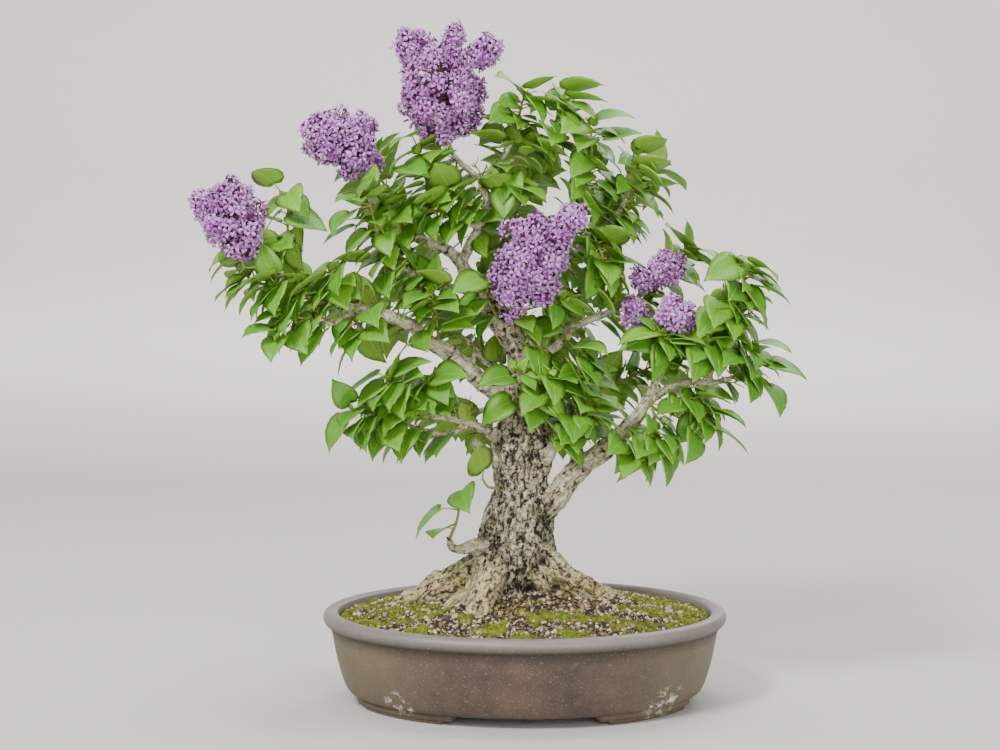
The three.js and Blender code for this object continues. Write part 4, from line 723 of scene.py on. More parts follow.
def leaf_material(settings):
    """Lilac leaf: smooth, firm and softly shining, mid green above and yellower beneath, with a pale
    midrib and faint side veins that run out and forward to the edge."""
    material, shader, add, place = surface("lilac leaf")
    blade = add("ShaderNodeAttribute", {"attribute_name": "blade"}).outputs["Vector"]
    tint = add("ShaderNodeAttribute", {"attribute_name": "tint"}).outputs["Fac"]
    apart = add("ShaderNodeSeparateXYZ", sockets={0: blade})
    under = apart.outputs["Z"]
    young, grown = settings.lit, settings.grown
    # lighter for young leaves and for high ones: the rise with height is partly painted light, with lower
    # leaves darker as painted shade
    green = add("ShaderNodeMix", RGBA, {0: tint, 6: toned(grown), 7: toned(young)})
    patch = add("ShaderNodeTexNoise", sockets={
        "Vector": place, "Scale": per_mm(16), "Detail": 3.0, "Roughness": 0.6})
    dull = add("ShaderNodeMapRange", sockets={
        "Value": patch, "From Min": 0.45, "From Max": 0.65, "To Max": 0.4})
    green = add("ShaderNodeMix", RGBA, {0: dull, 6: green, 7: toned(grown, 0.6)})
    # side veins leave the midrib at every eighth or so of the length and bend forward
    side = add("ShaderNodeMath", {"operation": "ABSOLUTE"}, {0: apart.outputs["X"]})
    bend = add("ShaderNodeMath", {"operation": "POWER"}, {0: side, 1: 1.2})
    run = add("ShaderNodeMath", {"operation": "MULTIPLY_ADD"}, {0: bend, 1: -1.25, 2: apart.outputs["Y"]})
    wave = add("ShaderNodeMath", {"operation": "PINGPONG"}, {0: run, 1: 0.06})
    vein = add("ShaderNodeMapRange", sockets={
        "Value": wave, "From Min": 0.016, "From Max": 0.0, "To Max": 0.1})
    midrib = add("ShaderNodeMapRange", sockets={
        "Value": side, "From Min": 0.016, "From Max": 0.004, "To Max": 0.42})
    veined = add("ShaderNodeMath", {"operation": "MAXIMUM"}, {0: vein, 1: midrib})
    green = add("ShaderNodeMix", RGBA, {0: veined, 6: green, 7: toned(young, 1.5)})
    ribbed = add("ShaderNodeMath", {"operation": "MULTIPLY"}, {0: veined, 1: 2.2})
    below = add("ShaderNodeMix", RGBA, {0: ribbed, 6: toned(settings.under), 7: toned(settings.under, 1.8)})
    lift = add("ShaderNodeMath", {"operation": "MULTIPLY_ADD"}, {0: veined, 1: -2.0, 2: patch})
    plug(shader, {
        "Base Color": add("ShaderNodeMix", RGBA, {0: under, 6: green, 7: below}),
        "Roughness": add("ShaderNodeMapRange", sockets={"Value": under, "To Min": 0.42, "To Max": 0.6}),
        "Specular IOR Level": 0.6,
        "Subsurface Weight": 0.15, "Subsurface Radius": (0.5 * MM, 1.2 * MM, 0.1 * MM),
        "Subsurface Scale": 1.0,
        "Normal": add("ShaderNodeBump", sockets={"Height": lift, "Distance": 0.5 * MM}),
    })
    return material


def stalk_material(settings):
    """Shoots and leaf stalks: green and a little waxy, browner towards the wood, with fine long streaks."""
    material, shader, add, place = surface("green lilac shoot")
    tint = add("ShaderNodeAttribute", {"attribute_name": "tint"}).outputs["Fac"]
    streak = add("ShaderNodeTexNoise", sockets={"Vector": place, "Scale": per_mm(4), "Detail": 3.0})
    brown = add("ShaderNodeMix", RGBA, {0: streak, 6: toned(linear("#6b5842")), 7: toned(linear("#a3936f"))})
    green = add("ShaderNodeMix", RGBA, {
        0: streak, 6: toned(settings.stalk, 0.7), 7: toned(settings.stalk, 1.3)})
    plug(shader, {
        "Base Color": add("ShaderNodeMix", RGBA, {0: tint, 6: brown, 7: green}), "Roughness": 0.5,
        "Normal": add("ShaderNodeBump", sockets={"Height": streak, "Distance": 0.3 * MM}),
    })
    return material


def petal_material(settings):
    """Lilac floret: matt and velvety, almost white-lilac towards the curled edges, deeper in the throat,
    and wine purple on the tube and on the buds."""
    material, shader, add, place = surface("lilac petal")
    tint = add("ShaderNodeAttribute", {"attribute_name": "tint"}).outputs["Fac"]
    floret = add("ShaderNodeAttribute", {"attribute_name": "floret"}).outputs["Vector"]
    apart = add("ShaderNodeSeparateXYZ", sockets={0: floret})
    petal, bud = settings.petal, settings.bud
    out = add("ShaderNodeMapRange", sockets={"Value": apart.outputs["X"], "From Min": 0.3, "From Max": 1.0})
    face = add("ShaderNodeMix", RGBA, {0: out, 6: toned(petal), 7: toned(settings.edge)})
    deep = add("ShaderNodeMapRange", sockets={"Value": tint, "From Min": 0.3, "To Max": 0.8})
    face = add("ShaderNodeMix", RGBA, {0: deep, 6: face, 7: toned(petal, 0.8)})
    throat = add("ShaderNodeMapRange", sockets={
        "Value": apart.outputs["X"], "From Min": 0.35, "From Max": 0.1, "To Max": 0.8})
    face = add("ShaderNodeMix", RGBA, {0: throat, 6: face, 7: toned(bud)})
    outside = add("ShaderNodeMix", RGBA, {0: tint, 6: toned(bud, 0.6), 7: toned(bud, 1.35)})
    face = add("ShaderNodeMix", RGBA, {0: apart.outputs["Y"], 6: face, 7: outside})
    mottle = add("ShaderNodeTexNoise", sockets={"Vector": place, "Scale": per_mm(1.5), "Detail": 2.0})
    shade = add("ShaderNodeMapRange", sockets={
        "Value": mottle, "From Min": 0.45, "From Max": 0.7, "To Max": 0.35})
    plug(shader, {
        "Base Color": add("ShaderNodeMix", RGBA, {0: shade, 6: face, 7: toned(petal, 0.55)}),
        "Roughness": 0.55, "Sheen Weight": 0.1, "Subsurface Weight": 0.2,
        "Subsurface Radius": (1.2 * MM, 0.6 * MM, 1.2 * MM), "Subsurface Scale": 1.0,
        "Normal": add("ShaderNodeBump", sockets={"Height": mottle, "Distance": 0.3 * MM}),
    })
    return material


def rachis_material(settings):
    """Flower stalks: thin and matt, green-brown flushed with purple."""
    material, shader, add, place = surface("lilac flower stalk")
    tint = add("ShaderNodeAttribute", {"attribute_name": "tint"}).outputs["Fac"]
    flush = add("ShaderNodeTexNoise", sockets={"Vector": place, "Scale": per_mm(6), "Detail": 3.0})
    green = add("ShaderNodeMix", RGBA, {0: flush, 6: toned(linear("#7d7a3e")), 7: toned(linear("#7a5a5c"))})
    plug(shader, {
        "Base Color": add("ShaderNodeMix", RGBA, {0: tint, 6: green, 7: toned(settings.bud, 0.8)}),
        "Roughness": 0.6, "Normal": add("ShaderNodeBump", sockets={"Height": flush, "Distance": 0.2 * MM}),
    })
    return material


def earth_material(settings):
    """Soil of a bonsai pot: dark crumbs of leaf mould between fine grit, greened where moss has crept."""
    material, shader, add, place = surface("potting soil")
    mossed = add("ShaderNodeAttribute", {"attribute_name": "moss"}).outputs["Fac"]
    crumb = add("ShaderNodeTexNoise", sockets={
        "Vector": place, "Scale": per_mm(2.4), "Detail": 4.0, "Roughness": 0.78})
    earth, moss = settings.earth, settings.moss
    ground = add("ShaderNodeValToRGB", {"stops": [
        (0.38, toned(earth, 0.25)), (0.5, toned(earth)), (0.58, toned(earth, 3.0)),
        (0.68, toned(settings.grit))]}, {0: crumb})
    cover = add("ShaderNodeMix", RGBA, {0: crumb, 6: toned(moss, 0.2), 7: toned(moss, 0.9)})
    plug(shader, {
        "Base Color": add("ShaderNodeMix", RGBA, {0: mossed, 6: ground, 7: cover}), "Roughness": 0.95,
        "Normal": add("ShaderNodeBump", sockets={"Height": crumb, "Distance": 2.5 * MM}),
    })
    return material


def moss_material(settings):
    """Living moss: soft, matt yellow-green sprigs, some lighter and some darker, browned in places."""
    material, shader, add, place = surface("living moss")
    tint = add("ShaderNodeAttribute", {"attribute_name": "tint"}).outputs["Fac"]
    patch = add("ShaderNodeTexNoise", sockets={"Vector": place, "Scale": per_mm(9), "Detail": 3.0})
    fine = add("ShaderNodeTexNoise", sockets={"Vector": place, "Scale": per_mm(0.8)})
    green = add("ShaderNodeMix", RGBA, {
        0: tint, 6: toned(settings.moss, 0.3), 7: toned(settings.moss, 1.25)})
    brown = add("ShaderNodeMapRange", sockets={
        "Value": patch, "From Min": 0.48, "From Max": 0.64, "To Max": 0.7})
    plug(shader, {
        "Base Color": add("ShaderNodeMix", RGBA, {0: brown, 6: green, 7: toned(linear("#5b5a26"))}),
        "Roughness": 0.9, "Normal": add("ShaderNodeBump", sockets={"Height": fine, "Distance": 0.3 * MM}),
    })
    return material


def grit_material(settings):
    """Washed grit: hard stones of cream, tan and brown, each of one colour, with dirt on them."""
    material, shader, add, place = surface("washed grit")
    tint = add("ShaderNodeAttribute", {"attribute_name": "tint"}).outputs["Fac"]
    stone = add("ShaderNodeValToRGB", {"stops": [
        (0.0, toned(linear("#3e3022"))), (0.2, toned(linear("#7d6140"))), (0.4, toned(linear("#b8976a"))),
        (0.55, toned(linear("#9a8c74"))), (0.74, toned(linear("#dccbac"))),
        (1.0, toned(settings.grit))]}, {0: tint})
    flaw = add("ShaderNodeTexNoise", sockets={
        "Vector": place, "Scale": per_mm(1.3), "Detail": 3.0, "Roughness": 0.7})
    dirt = add("ShaderNodeMapRange", sockets={
        "Value": flaw, "From Min": 0.45, "From Max": 0.7, "To Max": 0.85})
    plug(shader, {
        "Base Color": add("ShaderNodeMix", RGBA, {0: dirt, 6: stone, 7: toned(linear("#75634d"))}),
        "Roughness": 0.7, "Normal": add("ShaderNodeBump", sockets={"Height": flaw, "Distance": 0.4 * MM}),
    })
    return material


def net_material():
    """Drainage net: moulded polythene, dull black-green, with the faint draw lines of the mould."""
    material, shader, add, place = surface("moulded polythene net")
    line = add("ShaderNodeTexNoise", sockets={"Vector": place, "Scale": per_mm(3), "Detail": 2.0})
    plug(shader, {
        "Base Color": add("ShaderNodeMix", RGBA, {
            0: line, 6: toned(linear("#202624")), 7: toned(linear("#38403c"))}),
        "Roughness": 0.5, "Normal": add("ShaderNodeBump", sockets={"Height": line, "Distance": 0.15 * MM}),
    })
    return material


def floor_material(settings):
    """Matt paper roll: pale and even, with a barely seen tooth."""
    material, shader, add, place = surface("matt backdrop paper")
    tooth = add("ShaderNodeTexNoise", sockets={"Vector": place, "Scale": per_mm(4), "Detail": 3.0})
    plug(shader, {
        "Base Color": add("ShaderNodeMix", RGBA, {
            0: tooth, 6: toned(settings.floor, 0.98), 7: toned(settings.floor, 1.02)}),
        "Roughness": 0.9, "Normal": add("ShaderNodeBump", sockets={"Height": tooth, "Distance": 0.1 * MM}),
    })
    return material


# Paths and tubes, in millimetres

def smooth_path(points, values, step):
    """Points and values along a smooth line through the given ones, about a step apart."""
    both = np.column_stack([np.asarray(points, float), np.asarray(values, float)])
    ends = np.vstack([2 * both[0] - both[1], both, 2 * both[-1] - both[-2]])
    line = []
    for at in range(len(both) - 1):
        before, start, stop, after = ends[at:at + 4]
        count = max(2, int(np.linalg.norm(stop[:3] - start[:3]) / step))
        for share in np.arange(count) / count:
            line.append(0.5 * (2 * start + (stop - before) * share
                               + (2 * before - 5 * start + 4 * stop - after) * share ** 2
                               + (3 * start - before - 3 * stop + after) * share ** 3))
    line.append(both[-1])
    line = np.array(line)
    return line[:, :3], line[:, 3:]


def frames_along(line):
    """Directions along, across and through a line, turned as little as possible from point to point."""
    along = np.gradient(line, axis=0)
    along /= np.linalg.norm(along, axis=1)[:, None]
    across = np.array([1.0, 0, 0]) if abs(along[0][0]) <= 0.8 else np.array([0, 1.0, 0])
    frames = []
    for tangent in along:
        across = unit(across - tangent * across.dot(tangent))
        frames.append((tangent, across, np.cross(tangent, across)))
    return frames


def ring_faces(rings, sides):
    """Faces of a closed skin: its points are a first one, the rings one after another, and a last one."""
    faces = []
    for side in range(sides):
        after = (side + 1) % sides
        faces.append((0, 1 + after, 1 + side))
        for ring in range(rings - 1):
            here = 1 + ring * sides
            faces.append((here + side, here + after, here + sides + after, here + sides + side))
        top = 1 + (rings - 1) * sides
        faces.append((top + sides, top + side, top + after))
    return faces


def tube(line, radii, sides, swell):
    """Points and faces of a closed tube: radii are (across, through) at every point."""
    points = [line[0]]
    for at, (spot, radius, (_, across, deep)) in enumerate(zip(line, radii, frames_along(line))):
        for side in range(sides):
            angle = math.tau * side / sides
            size = swell(angle, at)
            points.append(spot + across * radius[0] * size * math.cos(angle)
                          + deep * radius[-1] * size * math.sin(angle))
    points.append(line[-1])
    return points, ring_faces(len(line), sides)


# Wood

def wood_lines():
    """Every stem, root and limb: (line, radii, whether it is a root)."""
    trunk = smooth_path([seen(at) for at, _, _ in TRUNK], [(wide, deep) for _, wide, deep in TRUNK], 4)
    lines = [(*trunk, 0)]
    for places, radii in ROOTS:
        line, thick = smooth_path([seen(at) for at in places], np.array(radii)[:, None], 3)
        lines.append((line, thick, 1))
    heart = seen(ROOT_HEART)
    for angle, reach in BACK_ROOTS:
        bearing = math.radians(angle)
        places = []
        for stop, above, _ in BACK_ROOT_STEPS:
            x = heart[0] + stop * reach * math.cos(bearing)
            y = stop * reach * math.sin(bearing)
            places.append((x, y, soil_height(x - POT_SHIFT, y) + above))
        line, thick = smooth_path(places, [(radius,) for _, _, radius in BACK_ROOT_STEPS], 3)
        lines.append((line, thick, 1))
    for places, first, last in LIMBS.values():
        radii = np.linspace(first, last, len(places))
        line, thick = smooth_path([seen(at) for at in places], radii[:, None], 2.5)
        lines.append((line, thick, 0))
    return lines


def wood_solid(lines):
    """Closed tubes round all the wood in one mesh; make_wood joins them into one skin at the grain of the
    settings.
    """
    points, faces = [], []
    for order, (line, radii, is_root) in enumerate(lines):
        radius = radii.mean(axis=1)
        is_trunk = order == 0
        lump, sway, ripple = (0.2, 0.45, 0.1) if is_root else (0.1, 0.22, 0.03)
        knots = np.array([noise.noise(Vector(spot / (10 if is_root else 13))) for spot in line])
        wander = np.array([noise.noise_vector(Vector(spot / 24)) for spot in line])
        moved = line if is_trunk else line + wander * (np.minimum(radius, 9) * sway)[:, None]
        sized = radii * (1 + lump * knots)[:, None]

        def swell(angle, at, order=order, ripple=ripple, line=line):
            """Flutes round the trunk, and faint ripples round roots and limbs."""
            if order == 0:
                level = line[at][2]
                flute = 0.035 * math.sin(3 * angle + level / 30) + 0.05 * math.cos(5 * angle - level / 26)
                return 1 + flute + 0.03 * math.cos(9 * angle + level / 19)
            return (1 + ripple * math.sin(3 * angle + at / 7 + order)
                    + ripple * 0.6 * math.cos(5 * angle + at / 5))

        more, skin = tube(moved, sized, 40 if is_trunk else 18, swell)
        faces.extend([tuple(first + len(points) for first in face) for face in skin])
        points.extend(more)
    return mesh_object("trunk_and_limbs", points, faces)


def nearest_wood(lines, places):
    """For each place, in millimetres: grain coordinates, the wood's radius there and if it is a root."""
    spots, radii, grains, rooted = [], [], [], []
    for line, thick, is_root in lines:
        run = np.concatenate([[0], np.cumsum(np.linalg.norm(np.diff(line, axis=0), axis=1))])
        spots.extend(line)
        radii.extend(thick.mean(axis=1))
        rooted.extend([is_root] * len(line))
        for (tangent, across, deep), distance in zip(frames_along(line), run):
            grains.append((across, deep, tangent, (0, 0, distance)))
    spots, radii, grains, rooted = (np.array(part, float) for part in (spots, radii, grains, rooted))
    best = []
    for some in np.split(places, range(2000, len(places), 2000)):
        apart = (some ** 2).sum(1)[:, None] - 2 * some @ spots.T + (spots ** 2).sum(1)
        best.append(np.argmin(np.sqrt(np.maximum(0, apart)) - radii, axis=1))
    best = np.concatenate(best)
    away = places - spots[best]
    grain = np.einsum("nk,njk->nj", away, grains[best][:, :3]) + grains[best][:, 3]
    return grain, radii[best], rooted[best]


def front_view(places):
    """Column and row that places in millimetres are seen at."""
    away = places - EYE
    forward = np.array([0, math.cos(VIEW_TILT), -math.sin(VIEW_TILT)])
    upward = np.array([0, math.sin(VIEW_TILT), math.cos(VIEW_TILT)])
    scale = VIEW_DISTANCE / (away @ forward)
    return VIEW_COLUMN + away[:, 0] * scale, VIEW_ROW - (away @ upward) * scale


def marks_seen(places, normals):
    """How dark, and how raised in millimetres, the front view shows the wood to be at each place: the
    darkness is knots and stains, with painted shade in the hollows and scars.
    """
    column, row = front_view(places)
    facing = np.clip(-normals[:, 1] * 1.6, 0, 1)
    dark, raised = np.zeros(len(places)), np.zeros(len(places))
    for at_column, at_row, reach, stain, rise in WOOD_MARKS:
        near = np.exp(-((column - at_column) ** 2 + (row - at_row) ** 2) / reach ** 2) * facing
        dark = np.maximum(dark, near * stain)
        raised += near * rise
    for line in WOOD_SCARS:
        for start, stop in zip(line, line[1:]):
            near = np.clip(1.1 - off_segment(column, row, start, stop) / 1.4, 0, 1) * facing
            dark = np.maximum(dark, 0.9 * near)
            raised -= 0.8 * near
    return dark, raised


def crack_depth(grain, amount, is_root):
    """How deep the bark's cracks are at a place, from 0 to 1, and how far its plates stand out."""
    u, v, s = grain
    bent = 3.0 * noise.noise(Vector((u / 12, v / 12, s / 12)))
    plate = noise.noise(Vector(((u + bent) / 6.5, (v - bent) / 6.5, s / (26 if is_root else 15))))
    plate += 0.5 * noise.noise(Vector(((u - bent) / 3.1 + 9, v / 3.1, (s + 2 * bent) / 7)))
    cross = noise.noise(Vector((u / 9 + 40, v / 9, (s + 2 * bent) / 4.5)))
    groove = max(0.0, 1 - abs(plate) / 0.13)
    nick = max(0.0, 1 - abs(cross) / 0.08) * 0.5
    return max(groove, nick) * amount, plate


def make_wood(settings):
    """The trunk with its roots and limbs in one skin, with the cracks and plates of its bark."""
    lines = wood_lines()
    piece = wood_solid(lines)
    remesh = piece.modifiers.new("one skin", "REMESH")
    remesh.mode = "VOXEL"
    remesh.voxel_size = settings.voxel
    remesh.use_smooth_shade = True
    smooth = piece.modifiers.new("blend", "SMOOTH")
    smooth.factor = 0.5
    smooth.iterations = 3
    keep_result(piece)
    mesh = piece.data
    count = len(mesh.vertices)
    places, normals = np.empty(count * 3, np.float32), np.empty(count * 3, np.float32)
    mesh.vertices.foreach_get("co", places)
    mesh.vertices.foreach_get("normal", normals)
    places = places.reshape(-1, 3).astype(float) / MM
    normals = normals.reshape(-1, 3).astype(float)
    grain, bulk, rooted = nearest_wood(lines, places)
    amount = np.where(rooted > 0, np.clip(bulk / 11, 0.35, 1), np.clip((bulk - 4) / 14, 0.06, 1))
    marks_and_shade, raised = marks_seen(places, normals)
    cracks, lifts = np.empty(count), np.empty(count)
    for index in range(count):
        strength, is_root = amount[index], rooted[index]
        cracks[index], plate = crack_depth(grain[index], strength * (0.8 if is_root else 1), is_root)
        place = Vector(places[index])
        lump, pimple = noise.noise(place / 10), noise.noise(place / 3.2)
        lifts[index] = ((1.9 * plate - 1.8 * cracks[index] + 1.6 * lump) * strength
                        + 0.6 * pimple * (0.2 + strength))
        if bulk[index] < 12 and not is_root:
            # scars in rings round young limbs
            along = grain[index][2]
            ring = abs((along + 9 * noise.noise(Vector((along / 30, bulk[index], 3)))) % 34 - 17)
            cracks[index] = max(cracks[index], 0.9 * max(0.0, 1 - ring / 1.6) * (lump > -0.1))
            lifts[index] += 0.6 * max(0.0, 1 - ring / 4)
    places += normals * (lifts + raised)[:, None]
    mesh.vertices.foreach_set("co", (places * MM).astype(np.float32).ravel())
    # the attribute darkens the bark at its cracks, with painted shade in them, and at the marks, with painted
    # shade in the hollows and scars
    set_attribute(mesh, "crack", "FLOAT", np.maximum(cracks * (1 + 0.3 * rooted), marks_and_shade))
    set_attribute(mesh, "rooted", "FLOAT", rooted * np.clip((160 - places[:, 2]) / 30, 0, 1))
    set_attribute(mesh, "bulk", "FLOAT", np.clip(bulk / 30, 0, 1))
    set_attribute(mesh, "grain", "FLOAT_VECTOR", grain * [1.0, 1.0, 0.3])
    mesh.update()
    mesh.materials.clear()
    mesh.materials.append(bark_material(settings))
    settle(piece, "bark", "trunk")


# Leaves

# Swings that a solid leaf may have been given: (degrees round, degrees up, share of its length)
AS_IT_IS = (0, 0, 1)
LEAF_SWINGS = [AS_IT_IS, (16, 0, 1), (-16, 0, 1), (0, 16, 1), (0, -18, 1), (30, 8, 0.95), (-30, 8, 0.95),
               (22, -20, 0.9), (-22, -20, 0.9), (0, 30, 0.85), (46, 0, 0.85), (-46, 0, 0.85), (0, 0, 0.7)]
# Arches and folds of the blades, as shares of the length; a shape is made of each pair
ARCHES, FOLDS = (0.05, 0.08, 0.11), (0.24, 0.32, 0.4)
ARCH_GAIN, FOLD_GAIN, HALF_SKIN = 1.1, 0.6, 0.006
# The crown's axis lies at this x; leaves' middles keep this far apart; both in millimetres
CROWN_AXIS, LEAF_CLEARANCE = 10.0, 9.0
BARE_SHOOTS = ("spray_basal", "spray_trunk_side")
BARE_LIMBS = ("brokenTwig", "basalStub", "basalEnd", "leftStub", "rightStub")
THICKEST_LEAFY_LIMB = 7
# Where each kind of seeded draw starts: leaves of the solids, those on shoots, at tips and on limbs, their
# tints, and the twigs
SOLID_SEED, SHOOT_SEED, TIP_SEED, LIMB_SEED, TINT_SEED, TWIG_SEED = 100, 500, 600, 700, 77, 900
# Wood that shows between the leaves in the front view, as lines of (column, row)
OPEN_WOOD = [
    [(520, 445), (515, 400), (512, 350), (495, 315), (470, 275), (462, 250), (415, 238)],
    [(560, 497), (590, 465), (622, 432), (650, 395), (690, 385), (722, 378)],
    [(345, 312), (400, 322), (430, 345), (480, 378), (500, 395)],
    [(545, 352), (575, 330), (608, 318)],
    [(415, 430), (450, 432), (480, 425)],
    [(445, 135), (470, 170), (485, 190)],
]
OPEN_REACH, OPEN_DEPTH = 14.0, 45.0


def turned(vector, axis, angle):
    """A vector turned about an axis by an angle in radians."""
    return np.array(Matrix.Rotation(angle, 3, Vector(axis)) @ Vector(vector))


def nearest_on(line, place):
    """Nearest point to a place on a line of points, kept off its very ends."""
    best = None
    for at in range(len(line) - 1):
        run = line[at + 1] - line[at]
        low, high = (0.25 if at == 0 else 0.02), (0.96 if at == len(line) - 2 else 1)
        share = min(max((place - line[at]).dot(run) / run.dot(run), low), high)
        spot = line[at] + share * run
        distance = np.linalg.norm(spot - place)
        if best is None or distance < best[0]:
            best = (distance, spot)
    return best[1]


def outward_from(place):
    """Level direction out from the crown's axis."""
    return unit(np.array([place[0] - CROWN_AXIS, place[1], 0.0]))


def swung_leaf(leaf, swing):
    """A leaf swung about its blade's base, with the way that its upper face looks."""
    around, rise, share = swing
    run = leaf["tip"] - leaf["base"]
    level = np.array([run[1], -run[0], 0.0])
    if level.dot(level) < 1:
        level = np.array([1.0, 0, 0])
    run = turned(run, unit(level), math.radians(rise))
    run = turned(run, (0, 0, 1), math.radians(around)) * share
    along = unit(run)
    facing = outward_from(leaf["base"]) * 0.6 + np.array([0, 0, 0.8])
    facing = unit(facing - along * facing.dot(along))
    return {**leaf, "tip": leaf["base"] + run, "normal": turned(facing, along, leaf["roll"])}


def posture(draws):
    """A leaf's roll, in radians, its arch and its fold."""
    return dict(roll=0.7 * (next(draws) - 0.5), arch=0.05 + 0.06 * next(draws), fold=0.22 + 0.2 * next(draws))


def seen_leaf(leaf, line, draws):
    """A leaf that was read off the front view."""
    column, row, tip_column, tip_row = leaf
    length = LEAF_LENGTH * (0.92 + 0.2 * next(draws))
    held = posture(draws)
    guess = nearest_on(line, seen((column, row, line[1][1])))
    outer = 1 if guess[1] > 40 else -1
    depth = guess[1] + outer * 5
    base = seen((column, row, depth))
    shown = np.linalg.norm(seen((tip_column, tip_row, depth)) - base)
    hidden = math.sqrt(max(0.0, length * length - shown * shown))
    tip = seen((tip_column, tip_row, depth + outer * hidden))
    return dict(foot=nearest_on(line, base), base=base, tip=tip, **held)


def paired_leaves(line, pair, pairs, draws, size=1.0, droop=0.0):
    """Two leaves opposite each other, turned a quarter from the pair below."""
    reach = (pair + 0.7) / pairs
    whole = min(len(line) - 2, int(reach * (len(line) - 1)))
    share = min(0.96, reach * (len(line) - 1) - whole)
    foot = line[whole] + share * (line[whole + 1] - line[whole])
    along = unit(line[whole + 1] - line[whole])
    first = unit(np.cross([0, 0, 1.0], along))
    first = turned(first, along, pair * math.pi / 2 + 0.9 * (next(draws) - 0.5))
    leaves = []
    for way in (1, -1):
        length = LEAF_LENGTH * (0.85 + 0.3 * next(draws)) * size
        held = posture(draws)
        stalk = (9 + 5 * next(draws)) * size
        out = unit(first * way + along * 0.5 + outward_from(foot) * 0.35)
        base = foot + out * stalk
        hang = out - np.array([0, 0, 0.35 + 0.4 * next(draws) + droop])
        leaves.append(dict(foot=foot, base=base, tip=base + unit(hang) * length, **held))
    return leaves


def solid_leaves(name, index):
    """The leaves that a spray's solid carries, each in the swing that its tip is found in."""
    shoot, pairs, read = SPRAYS[name]
    draws = seeded_draws(SOLID_SEED + index)
    line = [seen(place) for place in shoot]
    wanted = [seen_leaf(leaf, line, draws) for leaf in read]
    for pair in range(pairs):
        wanted.extend(paired_leaves(line, pair, pairs, draws))
    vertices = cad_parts[name].data.vertices
    corners = kdtree.KDTree(len(vertices))
    for at, vertex in enumerate(vertices):
        corners.insert(vertex.co / MM, at)
    corners.balance()
    found = []
    for leaf in wanted:
        for swing in LEAF_SWINGS:
            swung = swung_leaf(leaf, swing)
            corner = swung["tip"] + swung["normal"] * LEAF_THICKNESS / 2
            if corners.find(Vector(corner))[2] < 0.06:
                found.append(swung)
                break
    return line, found


def leaf_shape(name, arch, fold):
    """A heart-shaped blade of length 1 along +Y: two skins that share the rim, folded along the midrib."""
    # rows from base to tip: where the rim is, its half width, and where the midrib is
    rows = [(-0.085, 0.19, 0.0), (-0.01, 0.345, 0.085), (0.14, 0.42, 0.2), (0.32, 0.415, 0.345),
            (0.52, 0.345, 0.51), (0.72, 0.215, 0.69), (0.88, 0.075, 0.865)]
    tip = len(rows)
    places = []
    for row, (edge_at, half, middle_at) in enumerate(rows):
        dip = -0.035 if row == 0 else 0.0
        for column in (-2, -1, 0, 1, 2):
            out = abs(column) / 2
            bulge = 0.56 if abs(column) == 1 else out
            at = middle_at + (edge_at - middle_at) * out ** 1.5 + (dip if abs(column) == 1 else 0)
            places.append((row, column, math.copysign(half * bulge, column) if column else 0.0, at))
    places.append((tip, 0, 0.0, 1.0))

    def lift(across, at, row, column):
        """Height of the blade's middle skin: its arch and fold, a wavy rim and a groove at the midrib."""
        rise = 4 * arch * ARCH_GAIN * at * (1 - at) + FOLD_GAIN * fold * abs(across) * (1 - 0.9 * abs(across))
        wave = 0.012 * math.sin(9 * at + (2 if across > 0 else 0)) if abs(column) == 2 else 0
        groove = -0.006 if column == 0 and 0 < row < tip else 0
        return rise + wave + groove

    points, blades = [], []
    upper, lower = {}, {}
    for row, column, across, at in places:
        rim = row in (0, tip) or abs(column) == 2
        height = lift(across, at, row, column)
        upper[row, column] = lower[row, column] = len(points)
        points.append((across, at, height + (0 if rim else HALF_SKIN)))
        blades.append((across, at, 0.5 if rim else 0))
        if not rim:
            lower[row, column] = len(points)
            points.append((across, at, height - HALF_SKIN))
            blades.append((across, at, 1))
    cells = [[(row, column), (row, column + 1), (row + 1, column + 1), (row + 1, column)]
             for row in range(tip - 1) for column in (-2, -1, 0, 1)]
    cells += [[(tip - 1, column), (tip - 1, column + 1), (tip, 0)] for column in (-2, -1, 0, 1)]
    faces = []
    for corners in cells:
        faces.append([upper[corner] for corner in corners])
        faces.append([lower[corner] for corner in reversed(corners)])
    shape = mesh_object(name, np.array(points) / MM, faces)
    set_attribute(shape.data, "blade", "FLOAT_VECTOR", blades)
    return shape


def leaf_spot(leaf, tint):
    """Where a blade stands: its base, turn, length, kind of shape and tint."""
    run = leaf["tip"] - leaf["base"]
    along = unit(run)
    normal = leaf["normal"]
    turn = Matrix(np.column_stack([np.cross(along, normal), along, normal]).tolist()).to_quaternion()
    arch = int(np.argmin([abs(leaf["arch"] - value) for value in ARCHES]))
    fold = int(np.argmin([abs(leaf["fold"] - value) for value in FOLDS]))
    kind = arch * len(FOLDS) + fold
    return leaf["base"], turn, np.linalg.norm(run) * MM, kind, tint


def stalk_line(leaf, tint):
    """A leaf's stalk, from the shoot to the blade, sagging a little."""
    foot, base = leaf["foot"], leaf["base"]
    reach = np.linalg.norm(base - foot)
    middle = (foot + base) / 2 + np.array([0, 0, 0.06 * reach])
    into = base + unit(leaf["tip"] - leaf["base"]) * 3
    line, radii = smooth_path([foot, middle, base, into], [1.05, 0.75, 0.6, 0.35], 5)
    return line, radii[:, 0], tint


def hides_wood(middle):
    """Whether a leaf's middle, in millimetres, lies before wood that shows in the front view."""
    (column,), (row,) = front_view(middle[None])
    if middle[1] > OPEN_DEPTH:
        return False
    return any(off_segment(column, row, start, stop) < OPEN_REACH
               for line in OPEN_WOOD for start, stop in zip(line, line[1:]))


